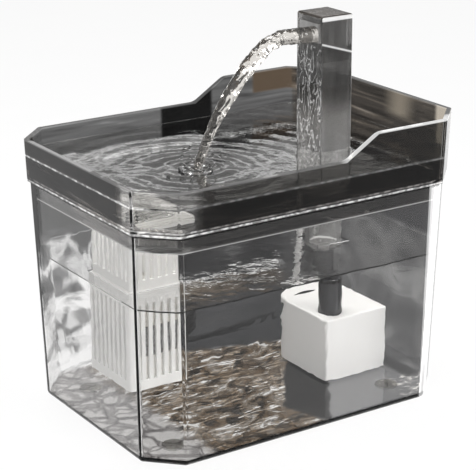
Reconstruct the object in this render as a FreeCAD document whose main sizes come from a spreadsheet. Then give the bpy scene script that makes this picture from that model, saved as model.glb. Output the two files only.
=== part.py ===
import FreeCAD, Part
import Sketcher
import math
import os
import re

from FreeCAD import Vector

# Pet water fountain: a smoked clear tank, a tray nested on its rim, a square tower with a spout head,
# a white slotted filter cassette hanging from the tray, and a submerged pump on a USB lead.
# The origin is the middle of the base. X runs along the long side, +Y points to the rear, +Z is up.

doc = FreeCAD.newDocument("PetWaterFountain")
sheet = doc.addObject("Spreadsheet::Sheet", "Sizes")

SIZES = [
    ("tank_length", 190, "outer length of the tank at its rim"),
    ("tank_width", 139.6, "outer width of the tank at its rim"),
    ("rim_level", 122.3, "height of the tank's rim, where the tray sits"),
    ("draft_run", 3.3, "how far each wall leans in from rim to base"),
    ("corner_cut", 17, "set-back of the four cut corners"),
    ("corner_round", 2.2, "radius on the upright edges"),
    ("tank_wall", 2.4, "wall of the tank"),
    ("tank_floor", 3, "floor of the tank"),
    ("base_round", 3.5, "radius round the bottom edge"),
    ("foot_height", 1, "how far the foot pads stand out"),
    ("foot_radius", 6, "radius of a foot pad"),
    ("foot_inset", 24, "pad centre from the tank's base edges"),
    ("tray_overhang", 1.2, "how far the tray stands out past the tank's rim"),
    ("nest_depth", 9.1, "how deep the tray drops into the tank"),
    ("nest_gap", 0.4, "gap between the tray's nest and the tank wall"),
    ("tray_wall", 2.4, "wall of the tray"),
    ("tray_floor", 2.4, "floor of the tray"),
    ("tray_flare", 0.9, "how far the tray's wall leans out over its height"),
    ("low_rise", 22.3, "tray rim above the tank's rim, on the drinking side"),
    ("high_rise", 34.2, "tray rim above the tank's rim, on the tower side"),
    ("slope_before", 26, "where the tray's rim starts to rise, left of the tower axis"),
    ("slope_run", 19.3, "length of the rising stretch"),
    ("slope_round", 9, "radius at both ends of the slope"),
    ("rim_round", 0.9, "radius on the tray's rim edges"),
    ("tower_length", 20, "tower section along the length"),
    ("tower_width", 22.5, "tower section across the width"),
    ("tower_wall", 1.8, "wall of the tower"),
    ("tower_round", 1.4, "radius on the tower's upright edges"),
    ("tower_rise", 84.7, "top of the spout head above the tank's rim"),
    ("head_height", 14, "spout head from its top to its parting line at the mouth"),
    ("parting_drop", 6.2, "how far the parting line falls towards the back"),
    ("mouth_height", 10, "height of the spout mouth"),
    ("head_lip", 4, "depth of the head's lip inside the tower"),
    ("head_gap", 0.1, "gap round the head's lip"),
    ("lip_wall", 1.2, "wall of the head's lip"),
    ("stem_radius", 9.7, "round stem under the tower"),
    ("stem_gap", 0.3, "gap between stem and tray hole"),
    ("stem_drop", 43.3, "lower end of the stem below the tank's rim"),
    ("stem_wall", 2, "wall of the stem"),
    ("stem_round", 3.5, "radius at the stem's lower end"),
    ("nipple_radius", 3.5, "hose nipple under the stem"),
    ("nipple_bore", 2.5, "radius of the bore through the nipple"),
    ("nipple_length", 8, "length of the hose nipple"),
    ("seal_height", 3, "silicone seal under the tray floor"),
    ("seal_width", 3, "width of the seal ring"),
    ("hose_fit", 0.05, "running gap of the hose on its nipple"),
    ("hose_wall", 1.85, "wall of the silicone hose"),
    ("hose_shift_x", 6, "outlet axis right of the tower axis"),
    ("hose_shift_y", 1, "outlet axis behind the tower axis"),
    ("pump_from_end", 56.5, "left side of the pump cover from the tank's right end"),
    ("pump_from_front", 43.8, "front of the pump cover from the tank's front"),
    ("pump_length", 41, "pump cover along the length"),
    ("pump_width", 54, "pump cover across the width"),
    ("pump_height", 35.5, "height of the pump cover"),
    ("pump_lift", 1, "cover's lower edge above the tank floor"),
    ("cover_wall", 1.6, "wall of the pump cover"),
    ("cover_corner", 17, "large radius of the rear left corner"),
    ("cover_edge", 1.2, "small radii of the pump cover"),
    ("outlet_from_left", 10.5, "outlet axis from the cover's left side"),
    ("outlet_from_front", 11, "outlet axis from the cover's front"),
    ("outlet_radius", 6.25, "outer radius of the outlet tube"),
    ("outlet_drop", 19, "top of the outlet tube below the stem"),
    ("outlet_socket", 8, "depth of the hose socket in the outlet tube"),
    ("plate_height", 2, "pump base plate"),
    ("plate_rise", 0.4, "base plate above the cover's lower edge"),
    ("plate_gap", 0.2, "gap between base plate and cover"),
    ("gland_rise", 8, "lead axis above the cover's lower edge"),
    ("sponge_space", 6, "room for the sponge between the cover's front and the impeller housing"),
    ("cup_radius", 4.5, "suction cup radius"),
    ("housing_height", 23.6, "height of the motor and impeller housings"),
    ("motor_length", 27.2, "motor housing along the length"),
    ("motor_depth", 20, "motor housing from front to back"),
    ("volute_length", 25, "impeller housing along the length"),
    ("volute_depth", 12, "impeller housing from front to back"),
    ("volute_radius", 10, "impeller chamber radius"),
    ("rotor_offset", 7, "rotor axis right of the outlet axis"),
    ("rotor_rise", 11.6, "rotor axis above the base plate"),
    ("magnet_radius", 4.8, "rotor magnet radius"),
    ("magnet_length", 13, "rotor magnet length"),
    ("well_gap", 0.4, "water gap round the magnet"),
    ("well_wall", 1, "wall of the rotor well"),
    ("motor_wall", 1.2, "wall of the motor housing"),
    ("shaft_radius", 1, "ceramic shaft radius"),
    ("shaft_fit", 0.05, "running gap on the shaft"),
    ("impeller_radius", 8.4, "impeller radius over its blades"),
    ("impeller_width", 7, "width of the impeller blades"),
    ("lead_radius", 1.75, "radius of the USB lead"),
    ("lead_fit", 0.02, "gap round the lead in its gland and grommet"),
    ("filter_from_end", 11, "left side of the filter basket from the tank's left end"),
    ("filter_from_front", 38.8, "front of the filter basket from the tank's front"),
    ("filter_length", 31, "filter basket along the length"),
    ("filter_width", 41, "filter basket across the width"),
    ("filter_drop", 91.3, "lower face of the filter basket below the tank's rim"),
    ("basket_drop", 38.3, "upper edge of the filter basket below the tank's rim"),
    ("basket_wall", 1.5, "wall of the filter basket"),
    ("shoulder", 1.3, "sloped shoulder round the basket's upper edge"),
    ("neck_overlap", 5, "how deep the neck sits in the basket"),
    ("neck_gap", 0.15, "gap between neck and basket"),
    ("slot_width", 2.1, "width of the filter slots"),
    ("filter_gap", 1, "gap between basket and tray opening"),
    ("flange_width", 3, "filter flange past the tray opening"),
    ("flange_height", 1.6, "thickness of the filter flange"),
    ("grille_height", 1.6, "thickness of the drain grille"),
    ("notch_width", 5, "width of the lead notch in the tank's rear corner"),
    ("notch_depth", 16.8, "depth of the lead notch below the tank's rim"),
    ("plug_x", 13, "back of the plug's overmould"),
    ("plug_y", 130.9, "plug axis behind the tank"),
    ("plug_level", 3.9, "plug axis above the floor"),
    ("plug_neck", 8, "tapered neck behind the overmould"),
    ("plug_length", 19, "overmould length"),
    ("plug_width", 15.6, "overmould width"),
    ("plug_height", 7.4, "overmould thickness"),
    ("shell_length", 12, "metal shell past the overmould"),
    ("shell_width", 12, "metal shell width"),
    ("shell_height", 4.5, "metal shell height"),
]
PLACES = {
    "half_length": "tank_length / 2",
    "half_width": "tank_width / 2",
    "floor_top": "foot_height + tank_floor",
    "inner_corner": "corner_cut - tank_wall * corner_factor",
    "corner_factor": "(2 - sqrt(2))",
    "diagonal": "sqrt(0.5)",
    "notch_x": "half_length - corner_cut / 2",
    "notch_y": "half_width - corner_cut / 2",
    "notch_bottom": "rim_level - notch_depth",
    "low_rim": "rim_level + low_rise",
    "high_rim": "rim_level + high_rise",
    "slope_start": "tower_middle_x - slope_before",
    "slope_end": "slope_start + slope_run",
    "nest_bottom": "rim_level - nest_depth",
    "tray_floor_top": "nest_bottom + tray_floor",
    "ledge": "rim_level + tray_wall",
    "nest_inset": "tank_wall + nest_gap + draft_run * nest_depth / rim_level",
    "tray_reach_x": "half_length + tray_overhang",
    "tray_reach_y": "half_width + tray_overhang",
    "bowl_corner": "inner_corner - tray_wall * corner_factor",
    "tower_middle_x": "outlet_x - hose_shift_x",
    "tower_middle_y": "outlet_y - hose_shift_y",
    "tower_left": "tower_middle_x - tower_length / 2",
    "tower_right": "tower_middle_x + tower_length / 2",
    "tower_front": "tower_middle_y - tower_width / 2",
    "tower_top": "rim_level + tower_rise",
    "parting_level": "tower_top - head_height",
    "lip_inset": "tower_wall + head_gap",
    "lip_bottom": "parting_level - parting_drop - head_lip",
    "head_wall": "lip_inset + lip_wall",
    "stem_bottom": "rim_level - stem_drop",
    "pump_x": "half_length - pump_from_end",
    "pump_y": "pump_from_front - half_width",
    "pump_bottom": "floor_top + pump_lift",
    "pump_top": "pump_bottom + pump_height",
    "outlet_x": "pump_x + outlet_from_left",
    "outlet_y": "pump_y + outlet_from_front",
    "outlet_top": "stem_bottom - outlet_drop",
    "gland_x": "pump_x + pump_length / 2",
    "gland_y": "motor_y + motor_depth",
    "gland_z": "pump_bottom + gland_rise",
    "plate_bottom": "pump_bottom + plate_rise",
    "plate_top": "plate_bottom + plate_height",
    "plate_inset": "cover_wall + plate_gap",
    "rotor_x": "outlet_x + rotor_offset",
    "rotor_z": "plate_top + rotor_rise",
    "volute_x": "rotor_x - volute_length / 2",
    "volute_y": "pump_y + sponge_space",
    "motor_x": "rotor_x - well_radius - well_wall - motor_wall - 0.8",
    "motor_y": "volute_y + volute_depth",
    "well_radius": "magnet_radius + well_gap",
    "well_depth": "magnet_length + 3",
    "core_x": "rotor_x - well_radius - well_wall",
    "core_y": "motor_y + 5",
    "magnet_y": "motor_y + 0.5",
    "hub_y": "volute_y + 2.2",
    "rear_bush_y": "motor_y + well_depth - 2",
    "shaft_bore": "shaft_radius + shaft_fit",
    "housing_top": "plate_top + housing_height",
    "hose_radius": "nipple_radius + hose_fit + hose_wall",
    "lead_bore": "lead_radius + lead_fit",
    "filter_x": "filter_from_end - half_length",
    "filter_y": "filter_from_front - half_width",
    "filter_bottom": "rim_level - filter_drop",
    "basket_top": "rim_level - basket_drop",
    "neck_inset": "basket_wall + neck_gap",
    "flange_reach": "filter_gap + flange_width",
    "media_height": "basket_top - filter_bottom - basket_wall - neck_overlap",
    "grille_z": "tray_floor_top + flange_height",
    "shell_x": "plug_x + plug_length - 2.9",
}
NAMES = [row[0] for row in SIZES]
for number, (alias, size, meaning) in enumerate(SIZES, start=1):
    sheet.set("A%d" % number, meaning)
    sheet.set("B%d" % number, str(size))
    sheet.setAlias("B%d" % number, alias)
doc.recompute()

nodes = []


def swap_words(text, swap):
    return re.sub(r"[a-z_]+", lambda match: swap(match.group(0)), str(text))


def expand(text):
    """Write a formula out in sizes of the sheet alone."""
    return swap_words(text, lambda word: "(%s)" % expand(PLACES[word]) if word in PLACES else word)


def formula(text):
    """A formula as an object's property reads it, with each size a reference to the sheet."""
    return swap_words(expand(text), lambda word: "Sizes." + word if word in NAMES else word)


def size(text):
    """The value of a formula of sizes, worked out by the sheet."""
    return float(sheet.evalExpression(expand(text)))


def bind(thing, prop, text):
    thing.setExpression(prop, formula(text))


def place(thing, x, y, z):
    bind(thing, "Placement.Base.x", x)
    bind(thing, "Placement.Base.y", y)
    bind(thing, "Placement.Base.z", z)


def node(thing, label):
    thing.Label = label
    nodes.append(thing)
    return thing


def box(name, x, y, z, length, width, height):
    thing = doc.addObject("Part::Box", name)
    bind(thing, "Length", length)
    bind(thing, "Width", width)
    bind(thing, "Height", height)
    place(thing, x, y, z)
    return thing


TURNS = {
    "x": FreeCAD.Rotation(Vector(0, 1, 0), 90),
    "y": FreeCAD.Rotation(Vector(1, 0, 0), -90),
    "z": FreeCAD.Rotation(),
}


def cylinder(name, x, y, z, radius, height, axis="z"):
    thing = doc.addObject("Part::Cylinder", name)
    thing.Placement.Rotation = TURNS[axis]
    bind(thing, "Radius", radius)
    bind(thing, "Height", height)
    place(thing, x, y, z)
    return thing


def cone(name, x, y, z, radius, end_radius, height, axis="z"):
    thing = doc.addObject("Part::Cone", name)
    thing.Placement.Rotation = TURNS[axis]
    bind(thing, "Radius1", radius)
    bind(thing, "Radius2", end_radius)
    bind(thing, "Height", height)
    place(thing, x, y, z)
    return thing


def fuse(name, *pieces):
    if len(pieces) == 1:
        return pieces[0]
    thing = doc.addObject("Part::MultiFuse", name)
    thing.Shapes = list(pieces)
    thing.Refine = True
    return thing


def cut(name, base, *tools):
    thing = doc.addObject("Part::Cut", name)
    thing.Base = base
    thing.Tool = fuse(name + "_tools", *tools)
    return thing


def group(name, *pieces):
    thing = doc.addObject("Part::Compound", name)
    thing.Links = list(pieces)
    return thing


def origin_plane(body, role):
    return [plane for plane in body.Origin.OriginFeatures if plane.Role == role][0]


def new_sketch(body, name, role):
    sketch = body.newObject("Sketcher::SketchObject", name)
    sketch.AttachmentSupport = [(origin_plane(body, role), "")]
    sketch.MapMode = "FlatFace"
    return sketch


def datum(sketch, kind, point, name, text):
    """Fix one coordinate of a sketch point, measured from the origin, to a formula."""
    start = getattr(sketch.Geometry[point[0]], "StartPoint" if point[1] == 1 else "EndPoint")
    now = start.x if kind == "DistanceX" else start.y
    index = sketch.addConstraint(Sketcher.Constraint(kind, -1, 1, point[0], point[1], now))
    sketch.renameConstraint(index, name)
    bind(sketch, "Constraints." + name, text)


def wedge(body, kind, name, low, high, low_x, low_y, high_x, high_y):
    """A drafted block, symmetric about both axes, given by its half sizes at two levels."""
    thing = body.newObject("PartDesign::%sWedge" % kind, name)
    thing.Placement.Rotation = FreeCAD.Rotation(Vector(1, 0, 0), 90)
    bind(thing, "Ymax", high)
    bind(thing, "Ymin", low)
    for prop, text in (("Xmax", low_x), ("Zmax", low_y), ("X2max", high_x), ("Z2max", high_y)):
        bind(thing, prop, text)
        bind(thing, prop.replace("max", "min"), "-(%s)" % text)
    return thing


def dress(body, kind, name, prop, text, wanted):
    """Fillet or chamfer the edges of the body's last feature for which wanted(edge) is true."""
    doc.recompute()
    base = body.Tip
    names = ["Edge%d" % (index + 1) for index, edge in enumerate(base.Shape.Edges) if wanted(edge)]
    thing = body.newObject("PartDesign::" + kind, name)
    thing.Base = (base, names)
    bind(thing, prop, text)
    return thing


def direction(edge):
    ends = edge.Vertexes
    if len(ends) < 2:
        return Vector(0, 0, 0)
    step = ends[-1].Point - ends[0].Point
    return step.normalize() if step.Length > 0.001 else step


def upright(edge):
    return abs(direction(edge).z) > 0.9


def bore(body, name, x, y, z, radius, height):
    thing = body.newObject("PartDesign::SubtractiveCylinder", name)
    bind(thing, "Radius", radius)
    bind(thing, "Height", height)
    place(thing, x, y, z)
    return thing


def window(body, name, x, y, z, length, width, height):
    thing = body.newObject("PartDesign::SubtractiveBox", name)
    bind(thing, "Length", length)
    bind(thing, "Width", width)
    bind(thing, "Height", height)
    place(thing, x, y, z)
    return thing


# Tank: a drafted open box with four cut corners and a notch for the lead in the rear right corner.


def corners(low, high, nearest, furthest):
    """Pick upright edges in the four corners, between two levels and two distances from the middle."""
    def wanted(edge):
        bounds = edge.BoundBox
        across = abs(bounds.Center.x)
        return (upright(edge) and bounds.ZMin > low - 0.1 and bounds.ZMax < high + 0.1
                and nearest < across < furthest and abs(bounds.Center.y) > size("tank_width") / 4)
    return wanted


foot, rim = size("foot_height"), size("rim_level")
half = size("tank_length") / 2
tank = node(doc.addObject("PartDesign::Body", "Tank"), "tank_shell")
wedge(tank, "Additive", "TankOuter", "foot_height", "rim_level",
      "half_length - draft_run", "half_width - draft_run", "half_length", "half_width")
wedge(tank, "Subtractive", "TankInner", "floor_top", "rim_level",
      "half_length - draft_run - tank_wall", "half_width - draft_run - tank_wall",
      "half_length - tank_wall", "half_width - tank_wall")
wall_middle = half - size("draft_run") / 2 - size("tank_wall") / 2
dress(tank, "Chamfer", "TankInnerCorners", "Size", "inner_corner", corners(foot, rim, half / 2, wall_middle))
dress(tank, "Chamfer", "TankCorners", "Size", "corner_cut", corners(foot, rim, wall_middle, half + 1))
dress(tank, "Fillet", "TankEdges", "Radius", "corner_round", upright)
dress(tank, "Fillet", "TankBaseRound", "Radius", "base_round",
      lambda edge: edge.BoundBox.ZMax < foot + 0.01)
NOTCH_REACH = 20
notch = tank.newObject("PartDesign::SubtractiveBox", "LeadNotch")
notch.Placement.Rotation = FreeCAD.Rotation(Vector(0, 0, 1), -45)
bind(notch, "Length", "notch_width")
bind(notch, "Width", 2 * NOTCH_REACH)
bind(notch, "Height", "rim_level - notch_bottom + 5")
place(notch, "notch_x - (notch_width / 2 + %d) * diagonal" % NOTCH_REACH,
      "notch_y + (notch_width / 2 - %d) * diagonal" % NOTCH_REACH, "notch_bottom")

# Four foot pads under the tank.
pads = []
for side_x in (-1, 1):
    for side_y in (-1, 1):
        pads.append(cylinder("Pad", "%d * (tank_length / 2 - draft_run - foot_inset)" % side_x,
                             "%d * (tank_width / 2 - draft_run - foot_inset)" % side_y, 0,
                             "foot_radius", "foot_height"))
node(group("FootPads", *pads), "foot_pads")

# Tray: its nest drops into the tank, its wall stands on the tank's rim and rises towards the tower.
tray = node(doc.addObject("PartDesign::Body", "Tray"), "tray")
wedge(tray, "Additive", "TrayOuter", "rim_level", "high_rim", "tray_reach_x", "tray_reach_y",
      "tray_reach_x + tray_flare", "tray_reach_y + tray_flare")
wedge(tray, "Additive", "Nest", "nest_bottom", "rim_level + 0.5",
      "half_length - nest_inset", "half_width - nest_inset",
      "half_length - nest_inset", "half_width - nest_inset")
wedge(tray, "Subtractive", "Bowl", "tray_floor_top", "ledge",
      "half_length - nest_inset - tray_wall - 0.4", "half_width - nest_inset - tray_wall - 0.4",
      "half_length - nest_inset - tray_wall", "half_width - nest_inset - tray_wall")
wedge(tray, "Subtractive", "Mouth", "ledge", "high_rim",
      "tray_reach_x - tray_wall", "tray_reach_y - tray_wall",
      "tray_reach_x + tray_flare - tray_wall", "tray_reach_y + tray_flare - tray_wall")
top, ledge = size("high_rim"), rim + size("tray_wall")
nest_bottom = rim - size("nest_depth")
nest_wall = half - size("tank_wall") - size("nest_gap") - size("draft_run") * size("nest_depth") / rim
nest_wall -= size("tray_wall") / 2
tray_wall = half + size("tray_overhang") + 0.45 - size("tray_wall") / 2
dress(tray, "Chamfer", "BowlCorners", "Size", "bowl_corner",
      corners(nest_bottom + 1, ledge, half / 2, nest_wall))
dress(tray, "Chamfer", "MouthCorners", "Size", "corner_cut - tray_wall * corner_factor",
      corners(ledge, top, half / 2, tray_wall))
dress(tray, "Chamfer", "NestCorners", "Size", "inner_corner", corners(nest_bottom, rim, nest_wall, half + 2))
dress(tray, "Chamfer", "TrayCorners", "Size", "corner_cut", corners(rim, top, tray_wall, half + 9))
dress(tray, "Fillet", "TrayEdges", "Radius", "corner_round", upright)


def rim_cut(body):
    sketch = new_sketch(body, "RimLine", "XZ_Plane")
    reach = 150
    start, end = size("slope_start"), size("slope_end")
    low, high = size("low_rim"), size("high_rim")
    above = high + 20
    outline = [(-reach, low), (start, low), (end, high), (reach, high), (reach, above), (-reach, above)]
    points = [Vector(x, y, 0) for x, y in outline]
    for index in range(6):
        sketch.addGeometry(Part.LineSegment(points[index], points[(index + 1) % 6]), False)
    for index in range(6):
        sketch.addConstraint(Sketcher.Constraint("Coincident", index, 2, (index + 1) % 6, 1))
    for index in (0, 2):
        sketch.addConstraint(Sketcher.Constraint("Horizontal", index))
    for index in (3, 5):
        sketch.addConstraint(Sketcher.Constraint("Vertical", index))
    sketch.addConstraint(Sketcher.Constraint("Symmetric", 4, 1, 4, 2, -2))
    datum(sketch, "DistanceX", (4, 1), "reach", "tank_length")
    datum(sketch, "DistanceY", (4, 1), "top", "high_rim + 20")
    datum(sketch, "DistanceX", (1, 1), "start_x", "slope_start")
    datum(sketch, "DistanceY", (1, 1), "start_y", "low_rim")
    datum(sketch, "DistanceX", (1, 2), "end_x", "slope_end")
    datum(sketch, "DistanceY", (1, 2), "end_y", "high_rim")
    pocket = body.newObject("PartDesign::Pocket", "RimCut")
    pocket.Profile = sketch
    pocket.Type = 1
    pocket.Midplane = True
    return pocket


rim_cut(tray)
slope_ends = [(size("slope_start"), size("low_rim")), (size("slope_end"), size("high_rim"))]


def slope_edge(edge):
    middle = edge.BoundBox.Center
    return abs(direction(edge).y) > 0.99 and any(
        abs(middle.x - x) < 0.05 and abs(middle.z - z) < 0.05 for x, z in slope_ends)


dress(tray, "Fillet", "SlopeRound", "Radius", "slope_round", slope_edge)
window(tray, "FilterOpening", "filter_x - filter_gap", "filter_y - filter_gap", "nest_bottom - 1",
       "filter_length + 2 * filter_gap", "filter_width + 2 * filter_gap", "tray_floor + 2")
bore(tray, "StemHole", "tower_middle_x", "tower_middle_y", "nest_bottom - 1", "stem_radius + stem_gap",
     "tray_floor + 2")


def section(body, name, middle_y, points):
    """An outline in the XZ plane, each point given by two formulas, moved to middle_y."""
    sketch = new_sketch(body, name, "XZ_Plane")
    bind(sketch, "AttachmentOffset.Base.z", "-(%s)" % middle_y)
    count = len(points)
    start = [Vector(60 + 10 * math.cos(2 * math.pi * step / count),
                    100 + 10 * math.sin(2 * math.pi * step / count), 0)
             for step in range(count)]
    for index in range(count):
        sketch.addGeometry(Part.LineSegment(start[index], start[(index + 1) % count]), False)
    for index in range(count):
        sketch.addConstraint(Sketcher.Constraint("Coincident", index, 2, (index + 1) % count, 1))
    for index, (x, z) in enumerate(points):
        datum(sketch, "DistanceX", (index, 1), "x%d" % index, x)
        datum(sketch, "DistanceY", (index, 1), "z%d" % index, z)
    return sketch


def pad(body, name, sketch, length):
    thing = body.newObject("PartDesign::Pad", name)
    thing.Profile = sketch
    thing.Midplane = True
    bind(thing, "Length", length)
    sketch.Visibility = False
    return thing


def block(body, name, x, y, z, length, width, height):
    thing = body.newObject("PartDesign::AdditiveBox", name)
    bind(thing, "Length", length)
    bind(thing, "Width", width)
    bind(thing, "Height", height)
    place(thing, x, y, z)
    return thing


def rod(body, name, x, y, z, radius, height):
    thing = body.newObject("PartDesign::AdditiveCylinder", name)
    bind(thing, "Radius", radius)
    bind(thing, "Height", height)
    place(thing, x, y, z)
    return thing


def at_level(level):
    """Pick edges that lie flat at one level."""
    return lambda edge: abs(edge.BoundBox.ZMin - level) < 0.02 and abs(edge.BoundBox.ZMax - level) < 0.02


# Tower: a square riser on the tray floor, with a round stem through the floor and a hose nipple.
tower = node(doc.addObject("PartDesign::Body", "Tower"), "tower_body")
outline = section(tower, "TowerSide", "tower_middle_y", [
    ("tower_left", "tray_floor_top"), ("tower_right", "tray_floor_top"),
    ("tower_right", "parting_level - parting_drop"), ("tower_left", "parting_level")])
pad(tower, "TowerOuter", outline, "tower_width")
dress(tower, "Fillet", "TowerEdges", "Radius", "tower_round", upright)
rod(tower, "Stem", "tower_middle_x", "tower_middle_y", "stem_bottom", "stem_radius",
    "tray_floor_top - stem_bottom")
dress(tower, "Fillet", "StemRound", "Radius", "stem_round", at_level(size("stem_bottom")))
rod(tower, "Nipple", "tower_middle_x", "tower_middle_y", "stem_bottom - nipple_length", "nipple_radius",
    "nipple_length + 1")
bore(tower, "StemBore", "tower_middle_x", "tower_middle_y", "stem_bottom + stem_wall * 2",
     "stem_radius - stem_wall", "tray_floor_top - stem_bottom")
bore(tower, "NippleBore", "tower_middle_x", "tower_middle_y", "stem_bottom - nipple_length - 1",
     "nipple_bore", "nipple_length + stem_wall * 3")
window(tower, "TowerBore", "tower_left + tower_wall", "tower_front + tower_wall", "tray_floor_top + 2.4",
       "tower_length - 2 * tower_wall", "tower_width - 2 * tower_wall", "tower_top")

# Spout head: the closed top of the tower, with the mouth in its left side and a lip inside the tower.
head = node(doc.addObject("PartDesign::Body", "Head"), "spout_head")
outline = section(head, "HeadSide", "tower_middle_y", [
    ("tower_left", "parting_level"), ("tower_right", "parting_level - parting_drop"),
    ("tower_right", "tower_top"), ("tower_left", "tower_top")])
pad(head, "HeadOuter", outline, "tower_width")
dress(head, "Fillet", "HeadEdges", "Radius", "tower_round", upright)
dress(head, "Fillet", "HeadTopRound", "Radius", "tower_round", at_level(size("tower_top")))
block(head, "Lip", "tower_left + tower_wall + head_gap", "tower_front + tower_wall + head_gap", "lip_bottom",
      "tower_length - 2 * (tower_wall + head_gap)", "tower_width - 2 * (tower_wall + head_gap)",
      "head_lip + parting_drop + 1")
window(head, "HeadBore", "tower_left + head_wall", "tower_front + head_wall", "lip_bottom - 1",
       "tower_length - 2 * head_wall", "tower_width - 2 * head_wall",
       "tower_top - 2 - lip_bottom + 1")
window(head, "SpoutMouth", "tower_left - 1", "tower_front + head_wall", "parting_level",
       "head_wall + 2", "tower_width - 2 * head_wall", "mouth_height")

# Silicone seal under the tray floor, round the stem.
ring = cylinder("SealOuter", "tower_middle_x", "tower_middle_y", "nest_bottom - seal_height",
                "stem_radius + hose_fit + seal_width", "seal_height")
hole = cylinder("SealInner", "tower_middle_x", "tower_middle_y", "nest_bottom - seal_height - 1",
                "stem_radius + hose_fit", "seal_height + 2")
node(cut("TowerSeal", ring, hole), "tower_seal")

# Pump cover: a white box with one large corner, open below, with a leaf-shaped slit in its top.
cover = node(doc.addObject("PartDesign::Body", "Cover"), "pump_cover")
block(cover, "CoverBlock", "pump_x", "pump_y", "pump_bottom", "pump_length", "pump_width", "pump_height")
window(cover, "CoverHollow", "pump_x + cover_wall", "pump_y + cover_wall", "pump_bottom - 1",
       "pump_length - 2 * cover_wall", "pump_width - 2 * cover_wall", "pump_height - cover_wall + 1")
pump_left, pump_front = size("pump_x"), size("pump_y")
pump_rear, cover_wall = pump_front + size("pump_width"), size("cover_wall")
cover_level = foot + size("tank_floor") + size("pump_lift")


def near(edge, x, y):
    middle = edge.BoundBox.Center
    return upright(edge) and abs(middle.x - x) < 0.1 and abs(middle.y - y) < 0.1


dress(cover, "Fillet", "InnerCorner", "Radius", "cover_corner - cover_wall",
      lambda edge: near(edge, pump_left + cover_wall, pump_rear - cover_wall))
dress(cover, "Fillet", "LargeCorner", "Radius", "cover_corner", lambda edge: near(edge, pump_left, pump_rear))
pump_right = pump_left + size("pump_length")
dress(cover, "Fillet", "SmallCorners", "Radius", "cover_edge",
      lambda edge: near(edge, pump_left, pump_front) or near(edge, pump_right, pump_front)
      or near(edge, pump_right, pump_rear))
dress(cover, "Fillet", "TopRound", "Radius", "cover_edge * 0.7", at_level(cover_level + size("pump_height")))
bore(cover, "OutletHole", "outlet_x", "outlet_y", "pump_top - cover_wall - 1", "outlet_radius + stem_gap",
     "cover_wall + 2")
GLAND_NOTCH_WIDTH = 6.8
GLAND_NOTCH_HEIGHT = 12.4
window(cover, "GlandNotch", "gland_x - %s / 2" % GLAND_NOTCH_WIDTH, "pump_y + pump_width - cover_wall - 1",
       "pump_bottom - 1", GLAND_NOTCH_WIDTH, "cover_wall + 2", GLAND_NOTCH_HEIGHT)


def leaf(body, name, half_length, half_width, x, y, z, depth):
    """A pointed slit: two equal arcs that meet at both ends."""
    sketch = new_sketch(body, name, "XY_Plane")
    for axis, text in (("x", x), ("y", y), ("z", z)):
        bind(sketch, "AttachmentOffset.Base." + axis, text)
    ends = [Vector(-half_length, 0, 0), Vector(half_length, 0, 0)]
    sketch.addGeometry(Part.Arc(ends[0], Vector(0, half_width, 0), ends[1]), False)
    sketch.addGeometry(Part.Arc(ends[1], Vector(0, -half_width, 0), ends[0]), False)
    pocket = body.newObject("PartDesign::Pocket", name + "Cut")
    pocket.Profile = sketch
    pocket.Length = depth
    return pocket


SLIT_HALF_LENGTH = 8
SLIT_HALF_WIDTH = 1.7
leaf(cover, "Slit", SLIT_HALF_LENGTH, SLIT_HALF_WIDTH, "pump_x + pump_length * 0.395",
     "pump_y + pump_width * 0.79", "pump_top", 4)


def plate_corner(edge):
    middle = edge.BoundBox.Center
    return upright(edge) and middle.x < pump_left + 5 and middle.y > pump_rear - 5


# Pump base plate with intake slots, on four suction cups.
plate = node(doc.addObject("PartDesign::Body", "Plate"), "pump_base")
block(plate, "PlateBlock", "pump_x + plate_inset", "pump_y + plate_inset", "plate_bottom",
      "pump_length - 2 * plate_inset", "pump_width - 2 * plate_inset", "plate_height")
dress(plate, "Fillet", "PlateCorner", "Radius", "cover_corner - cover_wall - plate_gap", plate_corner)
INTAKES = 5
INTAKE_PITCH = 5
for index in range(INTAKES):
    window(plate, "Intake%d" % index, "pump_x + pump_length / 2 - 11 + %d" % (index * INTAKE_PITCH),
           "pump_y + 3", "plate_bottom - 1", 2, 3, "plate_height + 2")
cups = []
for side_x in (0, 1):
    for side_y in (0, 1):
        spot = ("pump_x + 9 + %d * (pump_length - 18)" % side_x,
                "pump_y + 10 + %d * (pump_width - 19)" % side_y)
        bore(plate, "CupHole%d%d" % (side_x, side_y), spot[0], spot[1], "plate_bottom - 1", 1.55,
             "plate_height + 2")
        skirt = cone("CupSkirt", spot[0], spot[1], "floor_top", "cup_radius", 2.4, "pump_lift + 0.4")
        stub = cylinder("CupStub", spot[0], spot[1], "floor_top + 0.5", 1.5, "pump_lift - 0.1 + plate_height")
        cups.append(fuse("Cup", skirt, stub))
node(group("SuctionCups", *cups), "suction_cups")

# Impeller housing and motor housing stand on the plate; the rotor axis runs from front to back.
OUTLET_WALL = 2.45
volute = box("VoluteBlock", "volute_x", "volute_y", "plate_top", "volute_length", "volute_depth",
             "housing_height")
chamber = cylinder("Chamber", "rotor_x", "volute_y - 1", "rotor_z", "volute_radius", "volute_depth - 0.5",
                   "y")
rotor_hole = cylinder("RotorHole", "rotor_x", "volute_y", "rotor_z", "well_radius", "volute_depth + 1", "y")
outlet_bore = cylinder("OutletBore", "outlet_x", "outlet_y", "rotor_z", "outlet_radius - %s" % OUTLET_WALL,
                       "housing_height")
groove = cut("SealGroove",
             cylinder("GrooveOuter", "rotor_x", "volute_y - 1", "rotor_z", "volute_radius + 1.25", 2, "y"),
             cylinder("GrooveInner", "rotor_x", "volute_y - 2", "rotor_z", "volute_radius + 0.35", 4, "y"))
node(cut("VoluteHousing", volute, chamber, rotor_hole, outlet_bore, groove), "volute_housing")
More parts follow.
